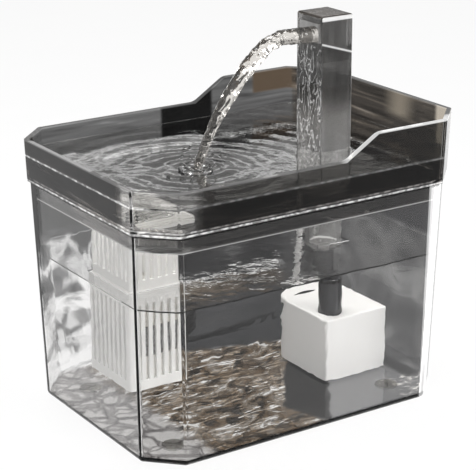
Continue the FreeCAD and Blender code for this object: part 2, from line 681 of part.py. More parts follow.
node(cut("VoluteSeal",
         cylinder("RingOuter", "rotor_x", "volute_y", "rotor_z", "volute_radius + 1.2", 0.95, "y"),
         cylinder("RingInner", "rotor_x", "volute_y - 1", "rotor_z", "volute_radius + 0.4", 3, "y")),
     "volute_seal")
VOLUTE_PLATE = 1.6
plate_front = box("VolutePlate", "volute_x", "volute_y - %s" % VOLUTE_PLATE, "plate_top", "volute_length",
                  VOLUTE_PLATE, "housing_height")
boss = cylinder("ShaftBoss", "rotor_x", "volute_y - 1", "rotor_z", 3.2, 2.6, "y")
holes = [cylinder("BushHole", "rotor_x", "volute_y - 0.6", "rotor_z", 2.1, 4, "y")]
INLETS = 6
INLET_CIRCLE = 5.8
for index in range(INLETS):
    angle = 2 * math.pi * index / INLETS
    holes.append(cylinder("Inlet", "rotor_x + %.4f" % (INLET_CIRCLE * math.cos(angle)), "volute_y - 3",
                          "rotor_z + %.4f" % (INLET_CIRCLE * math.sin(angle)), 1.7, 6, "y"))
node(cut("VoluteCover", fuse("CoverAndBoss", plate_front, boss), *holes), "volute_cover")

# Motor housing: a rotor well, and a pocket that holds the coil and core in potting compound.
motor = box("MotorBlock", "motor_x", "motor_y", "plate_top", "motor_length", "motor_depth", "housing_height")


def pocket_box(name):
    return box(name, "motor_x + motor_wall", "motor_y + 3", "plate_top + 2", "motor_length - motor_wall - 1",
               "motor_depth - 3", "housing_height - 4")


def well_tube(name):
    return cylinder(name, "rotor_x", "motor_y", "rotor_z", "well_radius + well_wall", "well_depth + 1.4", "y")


hollow = cut("MotorHollow", motor, pocket_box("MotorPocket"))
rotor_well = cylinder("RotorWell", "rotor_x", "motor_y - 1", "rotor_z", "well_radius", "well_depth + 1", "y")
node(cut("MotorHousing", fuse("MotorWithTube", hollow, well_tube("WellTube")), rotor_well), "motor_housing")

# Magnetic core with two legs and a back, which carries the winding; the rest of the pocket is potted.
CORE_LENGTH = 22.4
CORE_DEPTH = 6
CORE_LEG = 2.8
CORE_BACK = 3.8


def core_block(name, height):
    return box(name, "core_x", "core_y", "plate_top + 2.2", CORE_LENGTH, CORE_DEPTH, height)


def winding_block(name):
    return box(name, "core_x + 13.8", "core_y - 1.8", "plate_top + 5.4", 10.2, 9.6, "2 * rotor_rise - 10.8")


leg_high = box("CoreHigh", "core_x", "core_y", "plate_top + 2 * rotor_rise - 5", CORE_LENGTH, CORE_DEPTH,
               CORE_LEG)
back = box("CoreBack", "core_x + %s" % (CORE_LENGTH - CORE_BACK), "core_y", "plate_top + 2.2", CORE_BACK,
           CORE_DEPTH, "2 * rotor_rise - 4.4")
node(fuse("Core", core_block("CoreLow", CORE_LEG), leg_high, back), "stator_core")
opening = box("WindingHole", "core_x + 18.5", "core_y - 0.1", "plate_top", 4, 6.2, "2 * rotor_rise")
node(cut("Coil", winding_block("Winding"), opening), "stator_coil")
node(cut("Potting", pocket_box("PottingBlock"), well_tube("TubeSpace"), winding_block("WindingSpace"),
         core_block("CoreSpace", "2 * rotor_rise - 4.4")), "potting_block")

# Rotor: magnet and impeller turn together on the ceramic shaft, which two bushes hold.
node(cut("Magnet",
         cylinder("MagnetOuter", "rotor_x", "magnet_y", "rotor_z", "magnet_radius", "magnet_length", "y"),
         cylinder("MagnetBore", "rotor_x", "magnet_y - 1", "rotor_z", "shaft_bore", "magnet_length + 2",
                  "y")), "rotor_magnet")
hub = cylinder("Hub", "rotor_x", "hub_y", "rotor_z", 3, "volute_depth - 1.7", "y")
BLADES = 6
blades = []
for index in range(BLADES):
    blade = doc.addObject("Part::Box", "Blade")
    blade.Placement.Rotation = FreeCAD.Rotation(Vector(0, 1, 0), 360 / BLADES * index)
    bind(blade, "Length", "impeller_radius")
    bind(blade, "Width", "impeller_width")
    bind(blade, "Height", 1)
    place(blade, "rotor_x", "hub_y", "rotor_z")
    blades.append(blade)
node(cut("Impeller", fuse("HubAndBlades", hub, *blades),
         cylinder("HubBore", "rotor_x", "hub_y - 1", "rotor_z", "shaft_bore", "volute_depth + 2", "y")),
     "impeller")
node(cylinder("Shaft", "rotor_x", "volute_y - 0.6", "rotor_z", "shaft_radius",
              "volute_depth + 0.6 + well_depth", "y"),
     "rotor_shaft")
front_bush = cut("FrontBush",
                 cylinder("FrontOuter", "rotor_x", "volute_y - 0.6", "rotor_z", 2.08, 2.2, "y"),
                 cylinder("FrontBore", "rotor_x", "volute_y - 2", "rotor_z", "shaft_radius + 0.01", 6, "y"))
rear_bush = cut("RearBush",
                cylinder("RearOuter", "rotor_x", "rear_bush_y", "rotor_z", "well_radius - 0.02", 2, "y"),
                cylinder("RearBore", "rotor_x", "rear_bush_y - 1", "rotor_z", "shaft_radius + 0.01", 4, "y"))
node(group("ShaftBushes", front_bush, rear_bush), "shaft_bushes")

# Outlet tube from the impeller housing up through the cover, with a socket for the hose.
tube = cylinder("OutletOuter", "outlet_x", "outlet_y", "housing_top", "outlet_radius",
                "outlet_top - housing_top")
tube_bore = cylinder("OutletLower", "outlet_x", "outlet_y", "housing_top - 1",
                     "outlet_radius - %s" % OUTLET_WALL, "outlet_top")
socket = cylinder("OutletSocket", "outlet_x", "outlet_y", "outlet_top - outlet_socket",
                  "hose_radius + hose_fit", "outlet_socket + 1")
node(cut("OutletTube", tube, tube_bore, socket), "pump_outlet")

# Intake sponge between the cover's front and the impeller housing.
node(box("Sponge", "pump_x + cover_wall + 0.8", "pump_y + cover_wall + 0.3", "plate_top + 0.2",
         "pump_length - 2 * cover_wall - 1.6", "sponge_space - %s - cover_wall - 0.6" % VOLUTE_PLATE,
         "housing_height + 1"), "intake_sponge")

# Filter cassette: a slotted basket with a narrower slotted neck, whose flange rests on the tray floor.
basket = node(doc.addObject("PartDesign::Body", "Basket"), "filter_basket")
block(basket, "BasketBlock", "filter_x", "filter_y", "filter_bottom", "filter_length", "filter_width",
      "basket_top - filter_bottom")
dress(basket, "Fillet", "BasketEdges", "Radius", "1.5", upright)
dress(basket, "Chamfer", "Shoulder", "Size", "shoulder", at_level(size("basket_top")))
window(basket, "BasketHollow", "filter_x + basket_wall", "filter_y + basket_wall",
       "filter_bottom + basket_wall", "filter_length - 2 * basket_wall", "filter_width - 2 * basket_wall",
       "basket_top")
SLOTS_ALONG, SLOTS_ACROSS = 6, 8


def slots(body, name, low, high):
    """Upright slots through both pairs of walls, evenly spaced."""
    for count, start, length, other, other_length in (
            (SLOTS_ALONG, "filter_x", "filter_length", "filter_y - 1", "filter_width + 2"),
            (SLOTS_ACROSS, "filter_y", "filter_width", "filter_x - 1", "filter_length + 2")):
        for index in range(count):
            spot = "%s + 2.6 + (%s - 5.2) * %.4f - slot_width / 2" % (start, length, (index + 0.5) / count)
            along = count == SLOTS_ALONG
            window(body, "%s%s%d" % (name, "Along" if along else "Across", index), spot if along else other,
                   other if along else spot, low, "slot_width" if along else other_length,
                   other_length if along else "slot_width", "%s - (%s)" % (high, low))


slots(basket, "LowerSlot", "filter_bottom + 5", "basket_top - 8")
neck = node(doc.addObject("PartDesign::Body", "Neck"), "filter_neck")
block(neck, "NeckBlock", "filter_x + neck_inset", "filter_y + neck_inset", "basket_top - neck_overlap",
      "filter_length - 2 * neck_inset", "filter_width - 2 * neck_inset",
      "tray_floor_top - basket_top + neck_overlap")
block(neck, "Flange", "filter_x - flange_reach", "filter_y - flange_reach", "tray_floor_top",
      "filter_length + 2 * flange_reach", "filter_width + 2 * flange_reach", "flange_height")
dress(neck, "Fillet", "NeckEdges", "Radius", "1.5", upright)
window(neck, "NeckHollow", "filter_x + basket_wall * 2", "filter_y + basket_wall * 2",
       "basket_top - neck_overlap - 1", "filter_length - 4 * basket_wall", "filter_width - 4 * basket_wall",
       "tray_floor + high_rim")
slots(neck, "UpperSlot", "basket_top + 4.5", "nest_bottom - 2.5")


def media(name, label, low, height):
    node(box(name, "filter_x + basket_wall + 0.3", "filter_y + basket_wall + 0.3",
             "filter_bottom + basket_wall + %s" % low, "filter_length - 2 * basket_wall - 0.6",
             "filter_width - 2 * basket_wall - 0.6", height), label)


media("Cotton", "filter_cotton", 0.02, "media_height * 0.33")
media("Carbon", "carbon_pack", "media_height * 0.34", "media_height * 0.32")
media("Resin", "resin_pack", "media_height * 0.67", "media_height * 0.32")

# Drain grille: a slotted clear plate that lies on the filter's flange, under the water in the tray.
grille = node(doc.addObject("PartDesign::Body", "Grille"), "drain_grille")
block(grille, "GrilleBlock", "filter_x - flange_reach", "filter_y - flange_reach", "grille_z",
      "filter_length + 2 * flange_reach", "filter_width + 2 * flange_reach", "grille_height")
dress(grille, "Fillet", "GrilleEdges", "Radius", "2", upright)
DRAINS = 7
for index in range(DRAINS):
    window(grille, "Drain%d" % index, "filter_x + 2",
           "filter_y + 3 + (filter_width - 6) * %.4f - 1" % ((index + 0.5) / DRAINS),
           "grille_z - 1", "filter_length - 4", 2, "grille_height + 2")


def solid_feature(name, label, shape, home=Vector()):
    thing = doc.addObject("Part::Feature", name)
    thing.Shape = shape
    thing.Placement.Base = home
    return node(thing, label)


def rounded_route(points, share=0.45):
    """Straight runs joined by tangent arcs; each arc is as large as its two runs allow."""
    edges = []
    radii = []
    here = points[0]
    for before, corner, after in zip(points, points[1:], points[2:]):
        into, away = corner - before, after - corner
        turn = into.getAngle(away)
        shorter = min(into.Length, away.Length)
        radius = share * shorter / math.tan(turn / 2)
        reach = share * shorter
        into, away = into.normalize(), away.normalize()
        start, end = corner - into * reach, corner + away * reach
        inward = (away - into).normalize()
        middle = corner + inward * (radius / math.cos(turn / 2) - radius)
        edges.append(Part.makeLine(here, start))
        edges.append(Part.Arc(start, middle, end).toShape())
        radii.append(round(radius, 1))
        here = end
    edges.append(Part.makeLine(here, points[-1]))
    return Part.Wire(edges), radii


def tube_along(wire, radius, start, heading):
    profile = Part.Wire([Part.makeCircle(radius, start, heading)])
    return wire.makePipeShell([profile], True, False)


# Black silicone hose: over the stem's nipple above, in the outlet tube's socket below.
hose_top, hose_bottom = size("stem_bottom - 0.3"), size("outlet_top - outlet_socket + 0.3")
upper_end = size("stem_bottom - nipple_length - 0.2")
lower_end = size("outlet_top + 0.4")
above = Vector(size("tower_middle_x"), size("tower_middle_y"), 0)
below = Vector(size("pump_x + outlet_from_left"), size("pump_y + outlet_from_front"), 0)
shift = (below - above).Length
bend = (upper_end - lower_end) / 2
p_top = above + Vector(0, 0, hose_top)
p_bend = above + Vector(0, 0, upper_end)
p_mid = (above + below) * 0.5 + Vector(0, 0, upper_end - bend)
p_low = below + Vector(0, 0, lower_end)
p_end = below + Vector(0, 0, hose_bottom)
turn = 2 * math.atan2(shift / 2, bend)
upper_quarter = p_bend * 0.5 + p_mid * 0.5
bulge = (math.hypot(shift / 2, bend) / 2) * math.tan(turn / 4)
aside = (below - above).normalize()
tilt = Vector(-aside.x * bend, -aside.y * bend, -shift / 2).normalize()
hose_wire = Part.Wire([
    Part.makeLine(p_top, p_bend),
    Part.Arc(p_bend, upper_quarter + tilt * bulge, p_mid).toShape(),
    Part.Arc(p_mid, (p_mid + p_low) * 0.5 - tilt * bulge, p_low).toShape(),
    Part.makeLine(p_low, p_end),
])
hose_radius = size("nipple_radius + hose_fit + hose_wall")
hose_bore = size("nipple_radius + hose_fit")
hose = tube_along(hose_wire, hose_radius, p_top, Vector(0, 0, -1))
hose = hose.cut(tube_along(hose_wire, hose_bore, p_top, Vector(0, 0, -1)))
solid_feature("Hose", "feed_hose", hose)

# Strain relief where the lead leaves the motor housing, through the cover's notch.
node(cut("Gland", fuse("GlandBody", cylinder("GlandRoot", "gland_x", "gland_y", "gland_z", 3, 3.4, "y"),
                       cone("GlandTaper", "gland_x", "gland_y + 3.4", "gland_z", 2.9, 2.3, 8.6, "y")),
         cylinder("GlandBore", "gland_x", "gland_y - 1", "gland_z", "lead_bore", 20, "y")), "cable_gland")

# Grommet in the notch of the tank's rear right corner, split upwards so that the lead lifts out.
ACROSS = FreeCAD.Rotation(Vector(0, 0, 1), 45)


def corner_box(name, out, side, low, depth, width, height):
    """A box square to the cut corner: out and side are measured from the middle of its outer face."""
    thing = box(name, 0, 0, low, depth, width, height)
    thing.Placement.Rotation = ACROSS
    place(thing, "notch_x + diagonal * ((%s) - (%s))" % (out, side),
          "notch_y + diagonal * ((%s) + (%s))" % (out, side), low)
    return thing


low_core = corner_box("GrommetLowCore", "-tank_wall - 1.2", "-notch_width / 2 + 0.15", "notch_bottom + 0.15",
                      "tank_wall + 1.5", "notch_width - 0.3", "nest_bottom - notch_bottom - 0.75")
high_core = corner_box("GrommetHighCore", "-tank_wall - 0.3", "-notch_width / 2 + 0.15", "nest_bottom - 1.6",
                       "tank_wall + 0.6", "notch_width - 0.3", "nest_depth + 1.1")
inner_flange = corner_box("GrommetInner", "-tank_wall - 2.2", "-notch_width / 2 - 1.5",
                          "notch_bottom - 1.5", 1.2, "notch_width + 3", "nest_bottom - notch_bottom + 0.9")
outer_flange = corner_box("GrommetOuter", 0.1, "-notch_width / 2 - 1.5", "notch_bottom - 1.5", 1.2,
                          "notch_width + 3", "rim_level - notch_bottom + 1")
lead_hole = cylinder("GrommetHole", 0, 0, "notch_bottom + 2.9", "lead_bore", 20)
lead_hole.Placement.Rotation = FreeCAD.Rotation(Vector(0, 0, 1), Vector(1, 1, 0))
place(lead_hole, "notch_x - 10", "notch_y - 10", "notch_bottom + 2.9")
slit = corner_box("GrommetSlit", -8, -0.2, "notch_bottom + 3", 16, 0.4, 20)
node(cut("Grommet", fuse("GrommetBody", low_core, high_core, inner_flange, outer_flange), lead_hole, slit),
     "cord_grommet")

# The USB lead, as free cord: from the pump up to the corner notch, down outside and along the rear wall.
ROUTE_OUT = [
    (59, 24, 13), (59, 36, 13), (62.5, 44.5, 15), (69.5, 48, 28), (73, 48.4, 50), (73.6, 48, 79),
    (73.4, 48.2, 108.4), (97.1, 71.9, 108.4), (97.4, 72.4, 78), (98.5, 73, 50), (99.5, 73.5, 26),
    (96.5, 76.5, 8), (86, 79.5, 1.8), (68, 80.5, 1.8), (47, 76, 1.9), (27, 72.7, 2.7), (5.5, 72.7, 2.7),
]
# From the coil round to the plug, which lies behind it.
ROUTE_PLUG = [
    (-21.29, 100.5, 14.85), (-21.29, 110, 14.85), (-20, 119.5, 10), (-14, 127.5, 5.6), (-4.5, 130.9, 3.9),
    (5, 130.9, 3.9),
]
COIL_MIDDLE = Vector(2, 97, 0)
COIL_PITCH = 4.05
COIL_LOW = 2.7
COIL_START = 24.3
COIL_QUARTERS = (7, 7, 7, 6)
lead_radius = size("lead_radius")


def lead_run(name, label, points):
    route = [Vector(*point) for point in points]
    wire, radii = rounded_route(route)
    tube = tube_along(wire, lead_radius, route[0], route[1] - route[0])
    print(label, "length", round(wire.Length, 1), "arc radii", radii, "volume over section times length",
          round(tube.Volume / (math.pi * lead_radius ** 2 * wire.Length), 4))
    solid_feature(name, label, tube)
    return wire.Length


def coil_points():
    """Quarter-turn points: the spiral runs in and out by one pitch a turn and climbs a layer at each end."""
    steps = []
    inward = -1
    for layer, quarters in enumerate(COIL_QUARTERS):
        steps += [(inward, 0)] * quarters
        inward = -inward
        if layer < len(COIL_QUARTERS) - 1:
            steps += [(-inward, 0.5), (inward, 0.5)]
    radius, level = COIL_START, COIL_LOW
    turns = [(radius, level)]
    for inward, climb in steps:
        radius += inward * COIL_PITCH / 4
        level += climb * COIL_PITCH
        turns.append((radius, level))
    points = []
    for index, (radius, level) in enumerate(turns):
        angle = -math.pi / 2 * (1 + index)
        points.append(COIL_MIDDLE + Vector(radius * math.cos(angle), radius * math.sin(angle), level))
    return points


def arc_from(start, tangent, end):
    """The arc that leaves start along tangent and ends at end."""
    chord = end - start
    side = chord - tangent * chord.dot(tangent)
    if side.Length < 1e-6:
        return Part.makeLine(start, end)
    radius = chord.dot(chord) / (2 * side.Length)
    centre = start + side.normalize() * radius
    to_middle = (start + end) * 0.5 - centre
    if chord.dot(tangent) < 0:
        to_middle = to_middle * -1
    return Part.Arc(start, centre + to_middle.normalize() * radius, end).toShape()


def biarc(start, tangent, end, end_tangent):
    """Two arcs that meet smoothly, through start and end with their tangents."""
    chord = end - start
    both = tangent + end_tangent
    lead_in = 2 * (1 - tangent.dot(end_tangent))
    share = (-chord.dot(both) + math.sqrt(chord.dot(both) ** 2 + lead_in * chord.dot(chord))) / lead_in
    join = (start + tangent * share + end - end_tangent * share) * 0.5
    first = arc_from(start, tangent, join)
    second = arc_from(end, end_tangent * -1, join)
    return [first, second]


def wound_lead():
    points = coil_points()
    tangents = [(after - before).normalize() for before, after in zip(points, points[2:])]
    tangents = [Vector(-1, 0, 0)] + tangents + [Vector(0, 1, 0)]
    straight = 2 * lead_radius
    edges = [Part.makeLine(points[0] - tangents[0] * straight, points[0])]
    for index in range(len(points) - 1):
        edges += biarc(points[index], tangents[index], points[index + 1], tangents[index + 1])
    edges.append(Part.makeLine(points[-1], points[-1] + tangents[-1] * straight))
    wire = Part.Wire(Part.__sortEdges__(edges))
    samples = wire.discretize(Distance=0.8)
    apart = 12
    nearest = min((first - second).Length for index, first in enumerate(samples)
                  for second in samples[index + apart:])
    tube = tube_along(wire, lead_radius, points[0] - tangents[0] * straight, tangents[0])
    print("coil length", round(wire.Length, 1), "least gap to itself", round(nearest - 2 * lead_radius, 2),
          "ends at", points[-1] + tangents[-1] * straight, "volume over section times length",
          round(tube.Volume / (math.pi * lead_radius ** 2 * wire.Length), 4))
    solid_feature("LeadCoil", "lead_coil", tube)
    return wire.Length


whole = lead_run("Lead", "pump_lead", ROUTE_OUT) + wound_lead() + lead_run("Tail", "lead_tail", ROUTE_PLUG)
print("whole lead", round(whole, 1))

# Tie round the coil.
TIE_THICK = 0.8
coil_inner = COIL_START - COIL_PITCH * 2 - lead_radius - 0.35
coil_outer = COIL_START + COIL_PITCH / 4 + lead_radius + 0.35
coil_top = COIL_LOW + COIL_PITCH * 3 + lead_radius + 0.1
coil_base = COIL_LOW - lead_radius - 0.1
tie_outer = box("TieOuter", COIL_MIDDLE.x + coil_inner - TIE_THICK, COIL_MIDDLE.y - 3, coil_base - TIE_THICK,
                coil_outer - coil_inner + 2 * TIE_THICK, 6, coil_top - coil_base + 2 * TIE_THICK)
tie_inner = box("TieInner", COIL_MIDDLE.x + coil_inner, COIL_MIDDLE.y - 4, coil_base,
                coil_outer - coil_inner, 8, coil_top - coil_base)
node(cut("Tie", tie_outer, tie_inner), "coil_tie")

# USB plug: bevelled overmould with a tapered neck, metal shell with two square holes, tongue and contacts.
plug = node(doc.addObject("PartDesign::Body", "Plug"), "usb_overmould")
block(plug, "PlugBlock", "plug_x", "plug_y - plug_width / 2", "plug_level - plug_height / 2", "plug_length",
      "plug_width", "plug_height")
dress(plug, "Fillet", "PlugEdges", "Radius", 1.6, lambda edge: abs(direction(edge).x) > 0.9)
plug_back = size("plug_x")
dress(plug, "Chamfer", "PlugBevel", "Size", 1.5, lambda edge: edge.BoundBox.XMax < plug_back + 0.01)
neck_cone = plug.newObject("PartDesign::AdditiveCone", "PlugNeck")
neck_cone.Placement.Rotation = TURNS["x"]
bind(neck_cone, "Radius1", "lead_radius + 0.45")
bind(neck_cone, "Radius2", "plug_height / 2 - 0.6")
bind(neck_cone, "Height", "plug_neck + 0.5")
place(neck_cone, "plug_x - plug_neck", "plug_y", "plug_level")
window(plug, "ShellPocket", "plug_x + plug_length - 3", "plug_y - shell_width / 2",
       "plug_level - shell_height / 2", 5, "shell_width", "shell_height")
shell_outer = box("ShellOuter", "shell_x", "plug_y - shell_width / 2", "plug_level - shell_height / 2",
                  "shell_length + 2.9", "shell_width", "shell_height")
shell_inner = box("ShellInner", "shell_x - 1", "plug_y - shell_width / 2 + 0.35",
                  "plug_level - shell_height / 2 + 0.35", "shell_length + 6", "shell_width - 0.7",
                  "shell_height - 0.7")
windows = [box("ShellWindow", "plug_x + plug_length + shell_length * 0.42", "plug_y + %s - 1.15" % side,
               "plug_level - shell_height", 2.3, 2.3, "2 * shell_height") for side in ("2.4", "-2.4")]
node(cut("Shell", shell_outer, shell_inner, *windows), "usb_shell")
node(box("Tongue", "shell_x", "plug_y - shell_width / 2 + 0.4", "plug_level - shell_height / 2 + 0.4",
         "shell_length + 1.6", "shell_width - 0.8", "shell_height * 0.42"), "usb_tongue")
contacts = [box("Contact", "plug_x + plug_length + 1.5", "plug_y + %s - 0.55" % side,
                "plug_level - shell_height / 2 + 0.4 + shell_height * 0.42", "shell_length - 4", 1.1, 0.2)
            for side in ("3.5", "1.17", "-1.17", "-3.5")]
node(group("Contacts", *contacts), "usb_contacts")

doc.recompute()
failed = [thing.Name for thing in doc.Objects if "Invalid" in thing.State or "Error" in thing.State]
broken = [thing.Label for thing in nodes if thing.Shape.isNull() or not thing.Shape.isValid()]
if failed or broken:
    raise RuntimeError("failed objects %s, broken shapes %s" % (failed, broken))
os.makedirs("parts", exist_ok=True)
for thing in nodes:
    thing.Shape.exportStep("parts/%s.step" % thing.Label)
print(len(nodes), "nodes written")
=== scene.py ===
# %% [markdown]
# # Pet water fountain
# A smoked clear tank with cut corners carries a clear tray. A square tower rises from the tray and pours
# a stream of water into it. A white pump and a white slotted filter show through the walls.
# The frame holds every hard piece at its real size. This file adds the finishes, the water, the soft
# pieces, the lead, the light and the camera.

# %% Start
import math
import random

import bpy
from mathutils import Matrix, Vector


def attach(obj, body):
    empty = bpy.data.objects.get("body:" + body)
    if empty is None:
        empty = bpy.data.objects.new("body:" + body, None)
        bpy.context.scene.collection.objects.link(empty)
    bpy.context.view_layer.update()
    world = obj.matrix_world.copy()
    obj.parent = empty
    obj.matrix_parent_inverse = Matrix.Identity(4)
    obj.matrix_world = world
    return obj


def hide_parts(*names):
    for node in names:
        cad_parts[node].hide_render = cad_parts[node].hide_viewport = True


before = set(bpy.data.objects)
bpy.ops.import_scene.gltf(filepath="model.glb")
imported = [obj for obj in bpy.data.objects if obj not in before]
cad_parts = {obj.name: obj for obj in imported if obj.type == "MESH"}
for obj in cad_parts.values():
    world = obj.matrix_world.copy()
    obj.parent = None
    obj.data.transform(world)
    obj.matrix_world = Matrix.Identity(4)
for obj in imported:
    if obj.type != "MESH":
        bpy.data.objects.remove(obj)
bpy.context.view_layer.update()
scene = bpy.context.scene
scene.view_settings.view_transform = "Standard"
MM = 0.001

# %% [markdown]
# ## Camera
# The camera stands where the picture was taken from: a long lens, low over the front left corner.
# Its axes are worked out from two angles, and a small roll turns them.

# %% Camera
AZIMUTH = math.radians(-33.31)
ELEVATION = math.radians(18.88)
ROLL = math.radians(-0.21)
CAMERA_PLACE = Vector((-472.6, -718.5, 383.5)) * MM
LENS = 129.6
SENSOR = 36.0


def camera_turn():
    back = Vector((math.sin(AZIMUTH) * math.cos(ELEVATION),
                   -math.cos(AZIMUTH) * math.cos(ELEVATION),
                   math.sin(ELEVATION)))
    right = Vector((math.cos(AZIMUTH), math.sin(AZIMUTH), 0))
    up = back.cross(right)
    rolled_right = right * math.cos(ROLL) + up * math.sin(ROLL)
    rolled_up = up * math.cos(ROLL) - right * math.sin(ROLL)
    return Matrix((rolled_right, rolled_up, back)).transposed().to_4x4()


camera_data = bpy.data.cameras.new("photo_camera")
camera_data.sensor_fit = "HORIZONTAL"
camera_data.sensor_width = SENSOR
camera_data.lens = LENS
camera = bpy.data.objects.new("photo_camera", camera_data)
scene.collection.objects.link(camera)
camera.matrix_world = Matrix.Translation(CAMERA_PLACE) @ camera_turn()
scene.camera = camera
print("camera at", tuple(round(v, 3) for v in camera.location))

# %% [markdown]
# ## The USB lead
# The lead is one white cable, 3.5 mm thick and 1.45 m long. It leaves the pump through a strain relief,
# climbs inside the tank, passes a grommet in the rear corner, and is wound up behind the tank.
# A NURBS curve suits it, because its line stays smooth between a few given points. The coil's
# turns come from a loop, with sixteen points a turn.

# %% Lead
LEAD_RADIUS = 1.75
ROUTE_OUT = [
    (59, 24, 13), (59, 36, 13), (62.5, 44.5, 15), (69.5, 48, 28), (73, 48.4, 50), (73.6, 48, 79),
    (73.4, 48.2, 108.4), (97.1, 71.9, 108.4), (97.4, 72.4, 78), (98.5, 73, 50), (99.5, 73.5, 26),
    (96.5, 76.5, 8), (86, 79.5, 1.8), (68, 80.5, 1.8), (47, 76, 1.9), (27, 72.7, 2.7), (5.5, 72.7, 2.7),
]
ROUTE_PLUG = [
    (-21.29, 100.5, 14.85), (-21.29, 110, 14.85), (-20, 119.5, 10), (-14, 127.5, 5.6),
    (-4.5, 130.9, 3.9), (5, 130.9, 3.9),
]
COIL_MIDDLE = Vector((2, 97, 0))
COIL_PITCH = 4.05
COIL_LOW = 2.7
COIL_START = 24.3
COIL_QUARTERS = (7, 7, 7, 6)
POINTS_A_QUARTER = 4


def coil_quarters():
    """Radius and height at each quarter turn: in, out, in, out, with a climb in each half turn between."""
    steps = []
    inward = -1
    for layer, quarters in enumerate(COIL_QUARTERS):
        steps += [(inward, 0)] * quarters
        inward = -inward
        if layer < len(COIL_QUARTERS) - 1:
            steps += [(-inward, 0.5), (inward, 0.5)]
    radius, height = COIL_START, COIL_LOW
    marks = [(radius, height)]
    for side, climb in steps:
        radius += side * COIL_PITCH / 4
        height += climb * COIL_PITCH
        marks.append((radius, height))
    return marks


def coil_points():
    marks = coil_quarters()
    reach = 1 / math.cos(math.pi / (4 * POINTS_A_QUARTER))
    points = []
    for index in range((len(marks) - 1) * POINTS_A_QUARTER + 1):
        quarter, part = divmod(index, POINTS_A_QUARTER)
        after = min(quarter + 1, len(marks) - 1)
        share = part / POINTS_A_QUARTER
        radius = (marks[quarter][0] * (1 - share) + marks[after][0] * share) * reach
        height = marks[quarter][1] * (1 - share) + marks[after][1] * share
        angle = -math.pi / 2 * (1 + index / POINTS_A_QUARTER)
        turned = Vector((radius * math.cos(angle), radius * math.sin(angle), height))
        points.append(tuple(COIL_MIDDLE + turned))
    return points


def nurbs_tube(name, line, steps, roundness):
    """A round tube along a NURBS line of places and radii, in millimetres."""
    curve = bpy.data.curves.new(name, "CURVE")
    curve.dimensions = "3D"
    spline = curve.splines.new("NURBS")
    spline.points.add(len(line) - 1)
    for point, (place, radius) in zip(spline.points, line):
        point.co = (*(Vector(place) * MM), 1)
        point.radius = radius * MM
    spline.order_u = 3
    spline.use_endpoint_u = True
    spline.resolution_u = steps
    curve.bevel_depth = 1.0
    curve.bevel_resolution = roundness
    curve.use_fill_caps = True
    thing = bpy.data.objects.new(name, curve)
    scene.collection.objects.link(thing)
    return thing


lead_route = ROUTE_OUT + coil_points() + ROUTE_PLUG
lead = nurbs_tube("usb_lead", [(place, LEAD_RADIUS) for place in lead_route], steps=6, roundness=5)
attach(lead, "base")
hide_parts("pump_lead", "lead_coil", "lead_tail")
print("lead points", len(lead.data.splines[0].points))

# %% [markdown]
# ## Shader maths
# A finish is a small sum of noises, bands and masks. Written with nodes by hand, it is hard to read.
# The first class wraps a socket, so that `mask * 0.5 + grain` adds the Math nodes.

# %% A number over a surface
class Field:
    """A number that changes over a surface, with Python's operators."""

    def __init__(self, finish, socket):
        self.finish = finish
        self.socket = socket

    def sum(self, operation, *others):
        return self.finish.maths(operation, self, *others)

    def __add__(self, other):
        return self.sum("ADD", other)

    def __radd__(self, other):
        return self.sum("ADD", other)

    def __mul__(self, other):
        return self.sum("MULTIPLY", other)

    def __rmul__(self, other):
        return self.sum("MULTIPLY", other)

    def __sub__(self, other):
        return self.sum("SUBTRACT", other)

    def __rsub__(self, other):
        return self.finish.maths("SUBTRACT", other, self)

    def __abs__(self):
        return self.sum("ABSOLUTE")

    def sine(self):
        return self.sum("SINE")

    def above(self, low, high):
        """0 under low, 1 over high, smooth between."""
        return self.finish.add("ShaderNodeMapRange", {"interpolation_type": "SMOOTHSTEP"},
                               {"Value": self, "From Min": low, "From Max": high})

    def below(self, low, high):
        return 1 - self.above(low, high)

    def near(self, middle, width):
        """1 at the middle, 0 a width away."""
        return abs(self - middle).below(0, width)


# %% [markdown]
# The second class holds one material. It adds any other node from its type, settings and inputs, and has
# a short name for each kind that the finishes share. Object coordinates keep a pattern on its piece.

